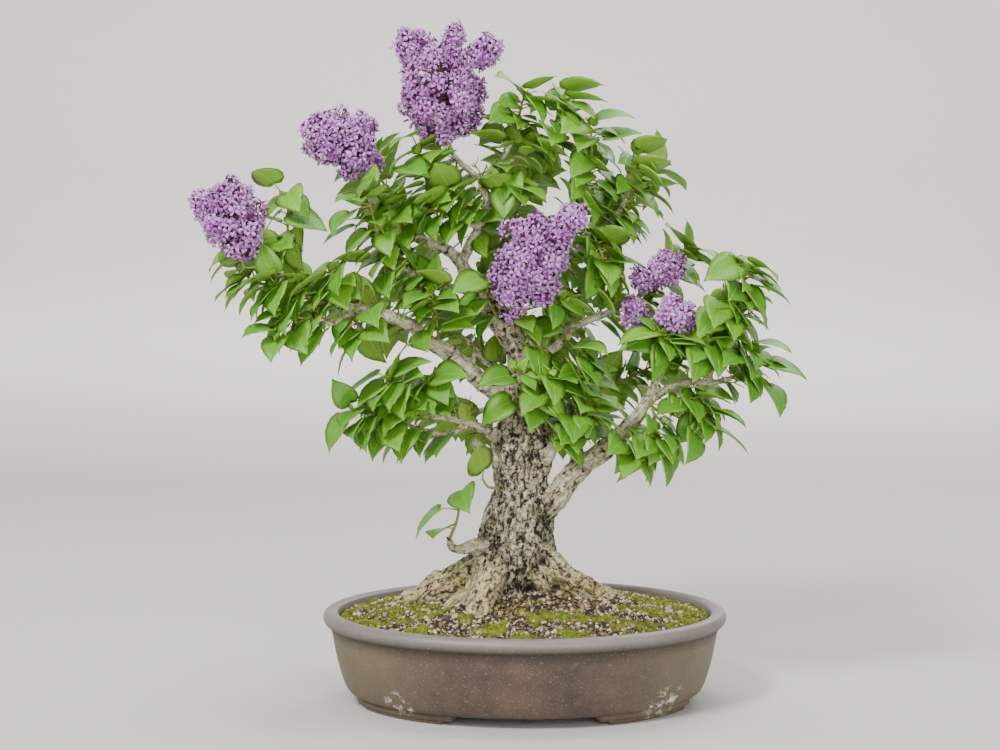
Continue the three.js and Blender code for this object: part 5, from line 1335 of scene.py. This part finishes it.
def fitted_leaves(line, pairs, draws, taken, smallest):
    """Pairs of leaves along a shoot, hanging more or less, where they keep off those already taken."""
    made = []
    for pair in range(pairs):
        size = smallest + (1 - smallest) * next(draws)
        for leaf in paired_leaves(line, pair, pairs, draws, size, 1.25 * next(draws) - 0.35):
            leaf = swung_leaf(leaf, AS_IT_IS)
            middle = (leaf["base"] + leaf["tip"]) / 2
            free = all(np.linalg.norm(middle - other) > LEAF_CLEARANCE for other in taken)
            if free and not hides_wood(middle):
                taken.append(middle)
                made.append(leaf)
    return made


def tip_leaves(line, draws):
    """The youngest leaves, small and upright at a shoot's end."""
    along = unit(line[-1] - line[-2])
    side = unit(np.cross(along, [0.3, 1, 0.1]))
    made = []
    for at in range(4):
        out = turned(side, along, at * math.pi / 2 + next(draws))
        base = line[-1] + out * 1.5
        run = unit(along * (1.1 - 0.2 * at) + out) * (8 + 9 * next(draws))
        leaf = dict(foot=line[-1] - along * 3, base=base, tip=base + run, roll=0.0, arch=0.08, fold=0.4)
        made.append(swung_leaf(leaf, AS_IT_IS))
    return made


def limb_paths(step):
    """The young limbs that leaves and twigs stand on, as points a step apart."""
    for order, (name, (places, first, _)) in enumerate(LIMBS.items()):
        if first <= THICKEST_LEAFY_LIMB and name not in BARE_LIMBS:
            line, _ = smooth_path([seen(place) for place in places], np.zeros((len(places), 1)), step)
            yield order, list(line[len(line) // 4:])


def twigs():
    """Thin bare stalks with forked ends inside the crown, left by leaves and by last year's blooms."""
    lines = []
    for order, line in limb_paths(9):
        draws = seeded_draws(TWIG_SEED + order)
        for foot in line[1:]:
            jitter = shake(draws)
            aim = unit(outward_from(foot) * (0.1 + 0.8 * next(draws)) + jitter * 1.8 + np.array([0, 0, 0.5]))
            reach = 12 + 20 * next(draws)
            tint = 0.6 + 0.4 * next(draws)
            bow = foot + aim * reach * 0.5 + jitter * 5
            tip = foot + aim * reach
            path, radii = smooth_path([foot, bow, tip], [1.1, 0.85, 0.6], 4)
            lines.append((path, radii[:, 0], tint))
            for _ in range(4):
                spread = shake(draws)
                start = path[int(len(path) * (0.5 + 0.45 * next(draws)))]
                stop = start + unit(aim + spread * 2.2) * (5 + 7 * next(draws))
                fork = np.array([start, (start + stop) / 2 + spread, stop])
                lines.append((fork, np.array([0.65, 0.55, 0.45]), tint))
    return lines


def make_foliage(settings):
    """The leaves of the solids, those that fill the crown by rule, and every shoot, stalk and twig."""
    shapes = [leaf_shape(f"leaf_{arch}_{fold}", arch, fold) for arch in ARCHES for fold in FOLDS]
    lines, leaves, taken, shoots = [], [], [], []
    for index, name in enumerate(SPRAYS):
        line, found = solid_leaves(name, index)
        lines.append(line)
        leaves.extend(found)
        taken.extend((leaf["base"] + leaf["tip"]) / 2 for leaf in found)
        path, radii = smooth_path(line, np.linspace(1.9, 0.95, len(line))[:, None], 5)
        shoots.append((path, radii[:, 0], 0.35))
    young = []
    for index, (name, line) in enumerate(zip(SPRAYS, lines)):
        if name not in BARE_SHOOTS:
            pairs = 9 if name.startswith("spray_back") else 8
            leaves.extend(fitted_leaves(line, pairs, seeded_draws(SHOOT_SEED + index), taken, 0.6))
            young.extend(tip_leaves(line, seeded_draws(TIP_SEED + index)))
    for order, line in limb_paths(6):
        pairs = max(3, len(line) + 1)
        leaves.extend(fitted_leaves(line, pairs, seeded_draws(LIMB_SEED + order), taken, 0.5))
    draws = seeded_draws(TINT_SEED)
    spots, stalks = [], shoots + twigs()
    for leaf in leaves + young:
        # tint: random, more for small young leaves, and more the higher a leaf stands: partly younger growth,
        # partly painted light, so lower leaves read darker as painted shade
        high = (leaf["base"][2] - 200) / 450
        small = np.linalg.norm(leaf["tip"] - leaf["base"]) < 18
        tint = min(1, max(0, 0.05 + 0.5 * next(draws) ** 1.6 + 0.2 * high + 0.4 * small))
        spots.append(leaf_spot(leaf, tint))
        if not small:
            stalks.append(stalk_line(leaf, 0.9))
    piece = scattered("leaves", scatter_tree("leaves on their places", len(shapes)), shapes, spots,
                      leaf_material(settings))
    discard(shapes)
    settle(piece, "leaf", *SPRAYS)
    stems = stemmed("shoots_and_leaf_stalks", stalks, 6, stalk_material(settings))
    settle(stems, "leaf")


# Blooms

# Whorls on a branch of a panicle: (how far back from its tip, how far out, how many florets)
FLORET_RINGS = [(0.0, 0.0, 1), (3.6, 5.8, 4), (9.6, 8.0, 4)]
# A branch for each square of this width on a lobe, in millimetres, and the turn from one to the next
BRANCH_SPACING, GOLDEN_TURN = 16.6, 2.39996
BLOOM_SEED = 1000
BUD_KIND = 4


def floret_shape(name, reach, cup, spin=0.0):
    """An open floret: four hooded petals on a tube, in one closed skin. Reach is in millimetres."""
    points, data, faces = [], [], []

    def point(radius, angle, height, out, deep):
        """Adds a point with how far out and how deep it is, and returns its number."""
        points.append((radius * math.cos(angle), radius * math.sin(angle), height))
        data.append((out, deep, 0))
        return len(points) - 1

    eye = point(0, 0, -0.9, 0.0, 0)
    quarter = math.pi / 2
    notches = [point(1.1, k * quarter - quarter / 2, 0, 0.25, 0) for k in range(4)]
    collar = [point(0.75, k * quarter - quarter / 2, -1.6, 0.1, 1) for k in range(4)]
    foot = [point(0.5, k * quarter - quarter / 2, -8.5, 0.0, 1) for k in range(4)]
    heel = point(0, 0, -8.8, 0.0, 1)
    for k in range(4):
        turn = k * quarter + spin
        size = reach * (1 + 0.1 * math.sin(2.3 * k + cup))
        bend = cup * (1 + 0.4 * math.sin(1.7 * k + 3 * cup))
        rim = [notches[k]]
        for share, swing, rise in (
                (0.55, -0.46, 0.5), (0.95, -0.26, 1.0), (0.95, 0.26, 1.0), (0.55, 0.46, 0.5)):
            rim.append(point(size * share, turn + swing, bend * rise + 0.4, share, 0))
        rim.append(notches[(k + 1) % 4])
        upper = point(size * 0.62, turn, bend * 0.5 - 0.3, 0.55, 0)
        lower = point(size * 0.62, turn, bend * 0.5 - 0.75, 0.6, 0.45)
        start, stop = rim[0], rim[-1]
        for one, other in zip(rim, rim[1:]):
            faces.append((one, other, upper))
            faces.append((other, one, lower))
        after = (k + 1) % 4
        faces.extend([
            (eye, start, upper), (stop, eye, upper), (start, collar[k], collar[after], stop, lower),
            (collar[after], collar[k], foot[k], foot[after]), (foot[after], foot[k], heel)])
    shape = mesh_object(name, points, faces)
    set_attribute(shape.data, "floret", "FLOAT_VECTOR", data)
    return shape


def bud_shape(name):
    """A closed bud on its tube."""
    profile = [(0.45, -7), (0.5, -1.5), (1.2, 0.2), (1.6, 1.7), (1.1, 3.0)]
    points, sides = [(0, 0, -7.3)], 6
    for radius, height in profile:
        for side in range(sides):
            angle = math.tau * side / sides
            points.append((radius * math.cos(angle), radius * math.sin(angle), height))
    points.append((0, 0, 3.6))
    shape = mesh_object(name, points, ring_faces(len(profile), sides))
    set_attribute(shape.data, "floret", "FLOAT_VECTOR", [(0.6, 0.6, 0)] * len(points))
    return shape


def lobe_spots(lobe, seed, spots, stalks):
    """A lobe's florets, in whorls on short branches that leave its axis all round, and the branches."""
    start, stop, radius, full = lobe
    start, stop = seen(start), seen(stop)
    axis = unit(stop - start)
    half = np.linalg.norm(stop - start) / 2
    middle = (start + stop) / 2
    side = unit(np.cross([0.3, 1, 0.2], axis))
    other = np.cross(axis, side)
    draws = seeded_draws(seed)
    area = 4 * math.pi * (radius ** 2 + 2 * radius * half) / 3
    bend = math.log(0.5) / math.log(full)
    count = int(area / BRANCH_SPACING ** 2)
    for index in range(count):
        level = (index + 0.5) / count
        slope = math.pi * (0.03 + 0.94 * (math.acos(1 - 2 * level) / math.pi) ** bend)
        spin = index * GOLDEN_TURN + 0.6 * next(draws)
        out = side * math.cos(spin) + other * math.sin(spin)
        normal = unit(out * math.sin(slope) / radius - axis * math.cos(slope) / half)
        there = Vector((middle + out * radius - axis * half * math.cos(slope)) / 14)
        height = 0.9 + 0.34 * noise.noise(there + Vector((seed, 0, 0))) + 0.46 * (next(draws) - 0.5)
        tip = (middle - axis * math.cos(slope) * half * (0.15 + 0.85 * height)
               + out * radius * height * math.sin(slope))
        aim = unit(normal + shake(draws) * 0.7 + axis * 0.45)
        root = middle + axis * ((tip - middle).dot(axis) * 0.75 - 7)
        line, radii = smooth_path([root, (root + tip) / 2 + aim * 1.5, tip - aim * 6], [1.2, 0.95, 0.6], 6)
        stalks.append((line, radii[:, 0], next(draws)))
        around = unit(np.cross(aim, [0.2, 0.3, 1.0]))
        about = np.cross(aim, around)
        in_bud = next(draws) < 0.1 + 0.3 * max(0.0, -math.cos(slope)) ** 2
        for ring, (back, wide, number) in enumerate(FLORET_RINGS):
            for place_at in range(number):
                angle = spin + math.tau * (place_at + 0.5 * ring + 0.35 * next(draws)) / number
                away = around * math.cos(angle) + about * math.sin(angle)
                jitter = shake(draws)
                place = tip - aim * (back + 1.6 * jitter[0]) + away * wide
                facing = unit(aim * (1.0 - 0.2 * ring) + away * 0.75 * ring + jitter * 0.8)
                bud = next(draws) < (0.75 if in_bud and ring < 2 else 0.05)
                turn = (Vector(facing).to_track_quat("Z", "Y")
                        @ Matrix.Rotation(next(draws) * math.tau, 3, "Z").to_quaternion())
                size = (0.85 + 0.3 * next(draws)) * (0.9 if in_bud else 1)
                kind = BUD_KIND if bud else int(next(draws) * BUD_KIND)
                spots.append((place, turn, size, kind, next(draws)))
    line, radii = smooth_path([start, middle, middle + axis * half * 0.6], [1.8, 1.5, 0.8], 6)
    stalks.append((line, radii[:, 0], 0.3))


def make_blooms(settings):
    """The panicles, each as a piece of florets and a piece of stalks."""
    reach = settings.floret / 2 / MM
    shapes = [
        floret_shape("floret_open", reach, 0.7), floret_shape("floret_cupped", reach * 0.95, 2.0),
        floret_shape("floret_curled", reach, -0.6), floret_shape("floret_turned", reach * 0.9, 1.3, 0.15),
        bud_shape("bud"),
    ]
    tree = scatter_tree("florets on their places", len(shapes))
    petal, stalk = petal_material(settings), rachis_material(settings)
    for order, (name, (stem, lobes)) in enumerate(PANICLES.items()):
        spots = []
        thick = np.linspace(2.2, 1.8, len(stem))[:, None]
        line, radii = smooth_path([seen(place) for place in stem], thick, 4)
        stalks = [(line, radii[:, 0], 0.2)]
        for at, lobe in enumerate(lobes):
            lobe_spots(lobe, BLOOM_SEED + 20 * order + at, spots, stalks)
        piece = scattered(name + "_florets", tree, shapes, spots, petal)
        settle(piece, "bloom", name)
        stems = stemmed(name + "_stalks", stalks, 5, stalk)
        settle(stems, "bloom")
    discard(shapes)


# Soil

# Seeds of the stones' and the sprigs' shapes, and of where they lie
STONE_SEED, SPRIG_SEED, GRIT_SEED, MOSS_SEED = 40, 80, 61, 62
STONE_KINDS = SPRIG_KINDS = 4
MOST_SPRIGS = 8500


def soil_height(x, y):
    """Height of the soil, measured from the pot's middle, in millimetres."""
    spread = (x / (POT_LENGTH / 2 - 16)) ** 2 + (y / (POT_WIDTH / 2 - 16)) ** 2
    lumps = 1.1 * math.sin(x / 13 + 1) * math.cos(y / 11) + 0.7 * math.sin(x / 7 - y / 9)
    return SOIL_EDGE + SOIL_RISE * max(0.0, 1 - spread) ** 1.3 + lumps * min(1.0, 3 * (1 - spread))


def moss_share(x, y):
    """How mossy the soil is at a place, from 0 to 1: patches, thickest by the rim."""
    spread = math.sqrt((x / (POT_LENGTH / 2 - 17)) ** 2 + (y / (POT_WIDTH / 2 - 17)) ** 2)
    patch = noise.fractal(Vector((x / 30 + 7, y / 22, 3)), 0.8, 2.2, 4)
    return min(1.0, max(0.0, (patch + 0.9 * (spread - 0.8)) * 3.6 + 0.22))


def oval(inset, share, angle):
    """Place on an oval inside the pot's outline, at a share of the way out from its middle."""
    return ((POT_LENGTH / 2 - inset) * share * math.cos(angle),
            (POT_WIDTH / 2 - inset) * share * math.sin(angle))


def soil_skin(x, y):
    """Height of the soil's visible crumbs and cushions."""
    crumbs = 1.5 * noise.noise(Vector((x / 5, y / 5, 0))) + 0.7 * noise.noise(Vector((x / 2.1, y / 2.1, 5)))
    moss = moss_share(x, y)
    cushion = 2.2 * moss * (0.6 + noise.noise(Vector((x / 8, y / 8, 9))))
    return soil_height(x, y) + crumbs * (1 - 0.5 * moss) + cushion


def make_soil(settings):
    """The filling of the pot, with crumbs and moss cushions in its skin."""
    sides, rings = 180, 64
    profile = [(inset + 0.8, height + 1.8) for inset, height in reversed(POT_INSIDE)]
    points, mossy = [(POT_SHIFT, 0, POT_FLOOR + 1.8)], [0.0]
    for inset, height in profile:
        for side in range(sides):
            x, y = oval(inset, 1, math.tau * side / sides)
            points.append((x + POT_SHIFT, y, height))
            mossy.append(0.0)
    for ring in range(rings):
        share = 1 - ring / rings
        for side in range(sides):
            x, y = oval(17.5, share, math.tau * side / sides)
            points.append((x + POT_SHIFT, y, soil_skin(x, y)))
            mossy.append(moss_share(x, y))
    points.append((POT_SHIFT, 0, soil_skin(0, 0)))
    mossy.append(0.5)
    piece = mesh_object("potting_soil", points, ring_faces(len(profile) + rings, sides))
    set_attribute(piece.data, "moss", "FLOAT", mossy)
    piece.data.materials.append(earth_material(settings))
    settle(piece, "soil", "soil")


def stone_shape(name, seed):
    """A broken stone about 1 across: twenty faces, with the dozen corners knocked out of round."""
    draws = seeded_draws(seed)
    long = (1 + math.sqrt(5)) / 2
    corners = [(-1, long, 0), (1, long, 0), (-1, -long, 0), (1, -long, 0), (0, -1, long), (0, 1, long),
               (0, -1, -long), (0, 1, -long), (long, 0, -1), (long, 0, 1), (-long, 0, -1), (-long, 0, 1)]
    faces = [(0, 11, 5), (0, 5, 1), (0, 1, 7), (0, 7, 10), (0, 10, 11), (1, 5, 9), (5, 11, 4), (11, 10, 2),
             (10, 7, 6), (7, 1, 8), (3, 9, 4), (3, 4, 2), (3, 2, 6), (3, 6, 8), (3, 8, 9), (4, 9, 5),
             (2, 4, 11), (6, 2, 10), (8, 6, 7), (9, 8, 1)]
    flat = np.array([0.32, 0.26, 0.2]) * [0.8 + 0.4 * next(draws) for _ in range(3)]
    points = [np.array(corner) * flat * (0.78 + 0.44 * next(draws)) for corner in corners]
    return mesh_object(name, np.array(points) / MM, faces, smooth=False)


def sprig_shape(name, seed):
    """A sprig of moss of height 1: five leaning blades that share a root."""
    draws = seeded_draws(seed)
    points, faces = [], []
    for blade in range(5):
        angle = math.tau * (blade + 0.6 * next(draws)) / 5
        lean = 0.25 + 0.45 * next(draws)
        tall = 0.7 + 0.4 * next(draws)
        out = np.array([math.cos(angle), math.sin(angle), 0])
        over = np.array([-out[1], out[0], 0])
        first = len(points)
        points.extend([over * 0.16, -over * 0.16, out * 0.2 - np.array([0, 0, 0.1]),
                       out * lean + np.array([0, 0, tall])])
        faces.extend([(first, first + 3, first + 1), (first + 1, first + 3, first + 2),
                      (first + 2, first + 3, first), (first, first + 1, first + 2)])
    return mesh_object(name, np.array(points) / MM, faces, smooth=False)


def random_turn(draws):
    """A turn of any angle about any axis."""
    axis = Vector(shake(draws)).normalized()
    return Matrix.Rotation(next(draws) * 6.28, 3, axis).to_quaternion()


def make_grit(settings):
    """Loose stones on the soil, fewer where moss grows and darker in a patch before the trunk."""
    shapes = [stone_shape(f"stone_{index}", STONE_SEED + index) for index in range(STONE_KINDS)]
    draws = seeded_draws(GRIT_SEED)
    spots = []
    for _ in range(settings.stones):
        angle, share = next(draws) * math.tau, math.sqrt(next(draws)) * 0.985
        x, y = oval(18.5, share, angle)
        size = 1.3 + 3.4 * next(draws) ** 2.0
        mossy = moss_share(x, y)
        if next(draws) < mossy * 0.8:
            continue
        z = soil_skin(x, y) + size * 0.16 - mossy * 0.6
        brown = 0.4 if abs(x - 12) < 60 and -85 < y < -25 and next(draws) < 0.55 else 1.0
        tint = next(draws) ** 0.55 * brown
        turn = random_turn(draws)
        spots.append(((x + POT_SHIFT, y, z), turn, size * MM, int(next(draws) * STONE_KINDS), tint))
    piece = scattered("grit", scatter_tree("stones on the soil", len(shapes)), shapes, spots,
                      grit_material(settings))
    discard(shapes)
    settle(piece, "soil")


def make_moss(settings):
    """Sprigs of moss, thick on the cushions."""
    shapes = [sprig_shape(f"sprig_{index}", SPRIG_SEED + index) for index in range(SPRIG_KINDS)]
    draws = seeded_draws(MOSS_SEED)
    spots = []
    for _ in range(settings.sprigs):
        angle, share = next(draws) * math.tau, math.sqrt(next(draws)) * 0.99
        x, y = oval(18, share, angle)
        mossy = moss_share(x, y)
        if next(draws) > mossy:
            continue
        size = 1.6 + 1.7 * next(draws)
        lean = (Matrix.Rotation(0.5 * (next(draws) - 0.5), 3, "X")
                @ Matrix.Rotation(next(draws) * 6.28, 3, "Z"))
        place = (x + POT_SHIFT, y, soil_skin(x, y) - 0.3)
        kind = int(next(draws) * SPRIG_KINDS)
        spots.append((place, lean.to_quaternion(), size * MM, kind, next(draws)))
        if len(spots) >= MOST_SPRIGS:
            break
    piece = scattered("moss_sprigs", scatter_tree("sprigs on the soil", len(shapes)), shapes, spots,
                      moss_material(settings))
    discard(shapes)
    settle(piece, "soil")


# Pot

def eased(profile, passes=2):
    """A profile with its corners cut, ends kept."""
    for _ in range(passes):
        cut = [profile[0]]
        for (a, b), (c, d) in zip(profile, profile[1:]):
            for share in (0.78, 0.22):
                cut.append((share * a + (1 - share) * c, share * b + (1 - share) * d))
        profile = cut + [profile[-1]]
    return profile


def pot_shell(sides):
    """Points and faces of the tub, inside and out, a little out of true as a thrown pot is."""
    profile = eased(POT_OUTSIDE + POT_INSIDE)
    points = [(0, 0, FOOT_HEIGHT)]
    for inset, height in profile:
        for side in range(sides):
            angle = math.tau * side / sides
            sway = 0.25 * math.sin(3 * angle + 0.6) * math.sin(height / 31)
            points.append((*oval(inset + sway, 1, angle), height))
    points.append((0, 0, POT_FLOOR))
    return points, ring_faces(len(profile), sides)


def foot_layer(step, way_x, way_y, facets=26):
    """One layer of a cloud foot: a curved bar with a soft bottom edge."""
    soft = 1.1
    spots = [(step["outer"], share) for share in np.linspace(0, 1, facets)]
    spots += [(step["inner"], share) for share in np.linspace(1, 0, facets)]
    levels = [(step["bottom"], soft), (step["bottom"] + soft, 0), (step["top"], 0)]
    points = []
    for height, inward in levels:
        for inset, share in spots:
            angle = math.radians(step["start"] + (step["stop"] - step["start"]) * share)
            ease = inward * (1 if inset == step["outer"] else -1)
            trim = inward / 150 * (1 if share < 0.5 else -1) if share in (0, 1) else 0
            x, y = oval(inset + ease, 1, angle + trim)
            points.append((x * way_x, y * way_y, height))
    count = len(spots)
    faces = []
    for level in range(len(levels) - 1):
        for at in range(count):
            after = (at + 1) % count
            faces.append((level * count + at, level * count + after, (level + 1) * count + after,
                          (level + 1) * count + at))
    for level, flip in ((0, True), (len(levels) - 1, False)):
        for at in range(facets - 1):
            face = (level * count + at, level * count + at + 1, level * count + count - 2 - at,
                    level * count + count - 1 - at)
            faces.append(face[::-1] if flip else face)
    if way_x * way_y < 0:
        faces = [face[::-1] for face in faces]
    return points, faces


def make_pot(settings):
    """The tub on its four feet with its two holes drilled, and the material of the screens."""
    points, faces = pot_shell(settings.sides)
    for way_x, way_y in ((1, 1), (-1, 1), (-1, -1), (1, -1)):
        for step in FOOT_STEPS:
            more, skin = foot_layer(step, way_x, way_y)
            faces.extend(tuple(first + len(points) for first in face) for face in skin)
            points.extend(more)
    points = [(x + POT_SHIFT, y, z) for x, y, z in points]
    piece = mesh_object("stoneware_pot", points, faces)
    drills = []
    for side in (-1, 1):
        ring = [(POT_SHIFT + side * HOLE_SPREAD + HOLE_RADIUS * math.cos(a), HOLE_RADIUS * math.sin(a))
                for a in np.linspace(0, math.tau, 49)[:-1]]
        count = len(ring)
        walls = [(at, (at + 1) % count, count + (at + 1) % count, count + at) for at in range(count)]
        drill = mesh_object(f"drill_{side}", [(*p, -5) for p in ring] + [(*p, 30) for p in ring],
                            walls + [tuple(range(count))[::-1], tuple(range(count, 2 * count))])
        drills.append(drill)
        cut = piece.modifiers.new("drill", "BOOLEAN")
        cut.operation = "DIFFERENCE"
        cut.object = drill
        cut.solver = "EXACT"
    keep_result(piece)
    discard(drills)
    piece.data.materials.clear()
    piece.data.materials.append(stoneware_material(settings))
    piece.data.polygons.foreach_set("material_index", [0] * len(piece.data.polygons))
    settle(piece, "pot", "pot")
    net = net_material()
    for name in ("drainage_screen_left", "drainage_screen_right"):
        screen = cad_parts[name]
        for at in range(len(screen.data.materials)):
            screen.material_slots[at].material = net


# Stage

# The floor bends up far away: (radius, height) in metres
FLOOR_RINGS = [(2.2, 0.0), (4.6, 0.0), (5.4, 0.06), (6.2, 0.28), (7.0, 0.8), (7.6, 1.8), (8.0, 4.0),
               (8.1, 8.0)]
# Lamps: place and where they aim, in metres, width in metres and power in watts
LAMPS = {
    "key": ((-1.5, -2.2, 2.8), (0, 0, 0.35), 1.0, 122),
    "fill": ((0.9, -2.7, 0.9), (0, 0, 0.3), 1.8, 42),
    "top": ((0.2, 0.2, 3.0), (0, 0, 0.35), 1.3, 42),
    "back": ((1.2, 2.4, 2.2), (0, 0, 0.4), 1.6, 30),
    "backdrop": ((0, 2.6, 3.4), (0, 7.6, 1.6), 2.5, 330),
}
LENS, SENSOR = 93.6, 36.0


def make_stage(settings):
    """The floor, the camera that sees the front view, the lamps and the sky's light."""
    points, faces, sides = [(0, 0, 0)], [], 64
    for radius, height in FLOOR_RINGS:
        for side in range(sides):
            angle = math.tau * side / sides
            points.append((radius * math.cos(angle) / MM, radius * math.sin(angle) / MM, height / MM))
    for side in range(sides):
        after = (side + 1) % sides
        faces.append((0, 1 + side, 1 + after))
        for ring in range(len(FLOOR_RINGS) - 1):
            here = 1 + ring * sides
            faces.append((here + side, here + sides + side, here + sides + after, here + after))
    floor = mesh_object("studio_floor", points, faces)
    floor.data.materials.append(floor_material(settings))

    camera = bpy.data.objects.new("camera", bpy.data.cameras.new("camera"))
    bpy.context.scene.collection.objects.link(camera)
    camera.data.sensor_width = SENSOR
    camera.data.lens = LENS
    camera.data.clip_end = 60.0
    camera.location = Vector(EYE * MM)
    aim = Vector((VIEW_ACROSS * MM, 0, VIEW_UP * MM)) - camera.location
    camera.rotation_euler = aim.to_track_quat("-Z", "Y").to_euler()
    bpy.context.scene.camera = camera

    for name, (place, aimed_at, width, power) in LAMPS.items():
        lamp = bpy.data.objects.new(name, bpy.data.lights.new(name, "AREA"))
        lamp.data.shape = "DISK"
        lamp.data.size = width
        lamp.data.energy = power
        lamp.location = place
        lamp.rotation_euler = (Vector(aimed_at) - Vector(place)).to_track_quat("-Z", "Y").to_euler()
        bpy.context.scene.collection.objects.link(lamp)
    world = bpy.data.worlds.new("studio")
    world.use_nodes = True
    plug(world.node_tree.nodes["Background"], {"Color": (0.95, 0.97, 1.0, 1.0), "Strength": 0.42})
    bpy.context.scene.world = world


# Operators

class BONSAI_OT_stage(bpy.types.Operator):
    """Sets the floor, the lights and the camera"""
    bl_idname = "bonsai.stage"
    bl_label = "Stage"

    def execute(self, context):
        make_stage(context.scene.bonsai_stage)
        return {"FINISHED"}


class BONSAI_OT_pot(bpy.types.Operator):
    """Makes the oval pot with its feet, and dresses the drainage screens"""
    bl_idname = "bonsai.pot"
    bl_label = "Pot"

    def execute(self, context):
        make_pot(context.scene.bonsai_pot)
        return {"FINISHED"}


class BONSAI_OT_soil(bpy.types.Operator):
    """Makes the soil, its grit and its moss"""
    bl_idname = "bonsai.soil"
    bl_label = "Soil"

    def execute(self, context):
        make_soil(context.scene.bonsai_soil)
        make_grit(context.scene.bonsai_soil)
        make_moss(context.scene.bonsai_soil)
        return {"FINISHED"}


class BONSAI_OT_wood(bpy.types.Operator):
    """Makes the trunk, roots and limbs"""
    bl_idname = "bonsai.wood"
    bl_label = "Wood"

    def execute(self, context):
        make_wood(context.scene.bonsai_wood)
        return {"FINISHED"}


class BONSAI_OT_leaves(bpy.types.Operator):
    """Makes the leaves with their shoots and stalks"""
    bl_idname = "bonsai.leaves"
    bl_label = "Leaves"

    def execute(self, context):
        make_foliage(context.scene.bonsai_leaves)
        return {"FINISHED"}


class BONSAI_OT_blooms(bpy.types.Operator):
    """Makes the flower panicles"""
    bl_idname = "bonsai.blooms"
    bl_label = "Blooms"

    def execute(self, context):
        make_blooms(context.scene.bonsai_blooms)
        return {"FINISHED"}


class BONSAI_PT_panel(bpy.types.Panel):
    """Lists the bonsai's settings and makes its pieces"""
    bl_label = "Lilac bonsai"
    bl_space_type = "VIEW_3D"
    bl_region_type = "UI"
    bl_category = "Bonsai"

    def draw(self, context):
        for name, (group, operator) in GROUPS.items():
            box = self.layout.box()
            box.operator(operator.bl_idname)
            for key in group.__annotations__:
                box.prop(getattr(context.scene, name), key)


GROUPS = {
    "bonsai_stage": (StageSettings, BONSAI_OT_stage),
    "bonsai_pot": (PotSettings, BONSAI_OT_pot),
    "bonsai_soil": (SoilSettings, BONSAI_OT_soil),
    "bonsai_wood": (WoodSettings, BONSAI_OT_wood),
    "bonsai_leaves": (LeafSettings, BONSAI_OT_leaves),
    "bonsai_blooms": (BloomSettings, BONSAI_OT_blooms),
}


def register():
    for name, (group, operator) in GROUPS.items():
        bpy.utils.register_class(group)
        bpy.utils.register_class(operator)
        setattr(bpy.types.Scene, name, bpy.props.PointerProperty(type=group))
    bpy.utils.register_class(BONSAI_PT_panel)


def unregister():
    bpy.utils.unregister_class(BONSAI_PT_panel)
    for name, (group, operator) in reversed(GROUPS.items()):
        delattr(bpy.types.Scene, name)
        bpy.utils.unregister_class(operator)
        bpy.utils.unregister_class(group)


def main():
    register()
    for step in (bpy.ops.bonsai.stage, bpy.ops.bonsai.pot, bpy.ops.bonsai.soil, bpy.ops.bonsai.wood,
                 bpy.ops.bonsai.leaves, bpy.ops.bonsai.blooms):
        step()


if __name__ == "__main__":
    main()
